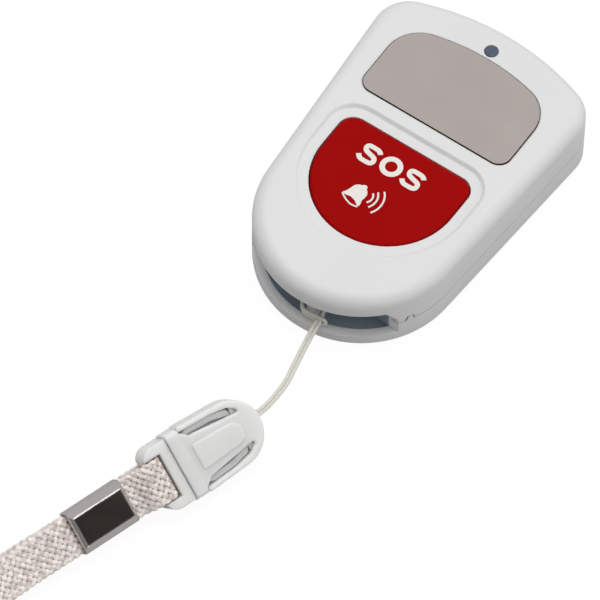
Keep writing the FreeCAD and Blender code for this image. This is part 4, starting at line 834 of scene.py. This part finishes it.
# %% Floor
FLOOR_REACH = 3
FLOOR_DROP = 0.0001
floor_mesh = bpy.data.meshes.new("floor")
floor_mesh.from_pydata([(x * FLOOR_REACH, y * FLOOR_REACH, -FLOOR_DROP)
                        for x, y in ((-1, -1), (1, -1), (1, 1), (-1, 1))], [], [(0, 1, 2, 3)])
floor = bpy.data.objects.new("floor", floor_mesh)
bpy.context.scene.collection.objects.link(floor)
paper = bpy.data.materials.new("white_paper_floor")
paper.use_nodes = True
tree = paper.node_tree
tree.nodes.clear()
path = add(tree, "ShaderNodeLightPath").outputs
bounce = add(tree, "ShaderNodeBsdfDiffuse", {"Color": colour("#BFBFBF")})
dim = add(tree, "ShaderNodeBsdfDiffuse", {"Color": colour("#555555")})
glow = add(tree, "ShaderNodeEmission", {"Color": (1, 1, 1, 1), "Strength": 0.93})
seen = add(tree, "ShaderNodeAddShader", {0: dim.outputs[0], 1: glow.outputs[0]})
mixed = add(tree, "ShaderNodeMixShader", {0: path["Is Camera Ray"], 1: bounce.outputs[0],
                                          2: seen.outputs[0]})
add(tree, "ShaderNodeOutputMaterial", {"Surface": mixed.outputs[0]})
floor_mesh.materials.append(paper)
print("floor", 2 * FLOOR_REACH, "m wide")

# %% [markdown]
# ## The world
#
# The room is white to the camera. For the light it gives, it is dimmer in front than behind, so
# that the two ends of the case differ and its rounded edge shows.

# %% World
world = bpy.data.worlds.new("studio")
world.use_nodes = True
bpy.context.scene.world = world
tree = world.node_tree
tree.nodes.clear()
path = add(tree, "ShaderNodeLightPath").outputs
heading = add(tree, "ShaderNodeSeparateXYZ",
              {0: add(tree, "ShaderNodeTexCoord").outputs["Generated"]}).outputs["Y"]
fall = add(tree, "ShaderNodeMapRange", {"Value": heading, "From Min": -0.9, "From Max": 0.2,
                                        "To Min": 0.2, "To Max": 0.55})
level = add(tree, "ShaderNodeMapRange", {"Value": path["Is Camera Ray"],
                                         "To Min": fall.outputs[0], "To Max": 1.0})
sky = add(tree, "ShaderNodeBackground", {"Color": (1, 1, 1, 1), "Strength": level.outputs[0]})
add(tree, "ShaderNodeOutputWorld", {"Surface": sky.outputs[0]})
print("world", world.name)

# %% [markdown]
# ## The lamps
#
# A large softbox overhead gives the top its even tone, and two weak ones open the sides. None of
# the three shows in a reflection, because the glossy parts would mirror squares. Two small lamps
# do the opposite: they are only mirrored, and make the glints on the clamp's folds.

# %% Lamps
SUBJECT = (0, -0.03, 0)
SOFTBOXES = (("overhead_softbox", (-0.15, 0.1, 0.9), 0.8, 4.35),
             ("side_fill", (0.75, 0.1, 0.45), 0.5, 1.5),
             ("left_fill", (-0.55, -0.6, 0.4), 0.5, 0.45))
GLINTS = (("glint_high", (0.35, 0.1, 0.93)), ("glint_low", (0.9, -0.35, 0.25)))
GLINT_DISTANCE, GLINT_SIZE, GLINT_POWER = 0.6, 0.16, 0.35


def add_lamp(name, place, target, size, power):
    """A square area lamp that faces a target."""
    data = bpy.data.lights.new(name, "AREA")
    data.shape = "SQUARE"
    data.size = size
    data.energy = power
    lamp = bpy.data.objects.new(name, data)
    lamp.location = place
    lamp.rotation_euler = (Vector(target) - Vector(place)).to_track_quat("-Z", "Y").to_euler()
    bpy.context.scene.collection.objects.link(lamp)
    return lamp


for name, place, size, power in SOFTBOXES:
    add_lamp(name, place, SUBJECT, size, power).visible_glossy = False
for name, direction in GLINTS:
    lamp = add_lamp(name, Vector(direction) * GLINT_DISTANCE + BUCKLE, BUCKLE, GLINT_SIZE,
                    GLINT_POWER)
    lamp.visible_diffuse = False
    lamp.visible_transmission = False
print(len(SOFTBOXES) + len(GLINTS), "lamps")

# %% [markdown]
# ## The card
#
# Polished metal looks like what it mirrors. The clamp's flat top mirrors a brown card that stands
# to its right, black below and brown above, and nothing else sees the card.

# %% Card
CARD_DIRECTION = Vector((0.807, 0.078, 0.583))
CARD_DISTANCE = 0.6
CARD_HALF_WIDTH, CARD_HALF_HEIGHT = 0.2, 0.16
flag_mesh = bpy.data.meshes.new("black_flag")
centre = Vector((0, -0.08, 0)) + CARD_DIRECTION * CARD_DISTANCE
level_side = CARD_DIRECTION.cross(Vector((0, 0, 1))).normalized()
level_rise = level_side.cross(CARD_DIRECTION)
flag_mesh.from_pydata([centre + level_side * a * CARD_HALF_WIDTH + level_rise * b * CARD_HALF_HEIGHT
                       for a, b in ((-1, -1), (1, -1), (1, 1), (-1, 1))], [], [(0, 1, 2, 3)])
flag = bpy.data.objects.new("black_flag", flag_mesh)
bpy.context.scene.collection.objects.link(flag)
card, tree, shader = start_material("brown_card", "#453930", 1.0)
height = add(tree, "ShaderNodeSeparateXYZ",
             {0: add(tree, "ShaderNodeTexCoord").outputs["Generated"]}).outputs["Y"]
step = add(tree, "ShaderNodeMapRange", {"Value": height, "From Min": 0.35, "From Max": 0.65})
fade = add(tree, "ShaderNodeMix", {0: step.outputs[0], 6: colour("#140E0B"),
                                   7: colour("#63554A")}, data_type="RGBA")
tree.links.new(fade.outputs[2], shader.inputs["Base Color"])
flag_mesh.materials.append(card)
for ray in ("camera", "diffuse", "transmission", "shadow"):
    setattr(flag, "visible_" + ray, False)
print("card", flag.name)

bpy.context.scene.view_settings.view_transform = "Standard"
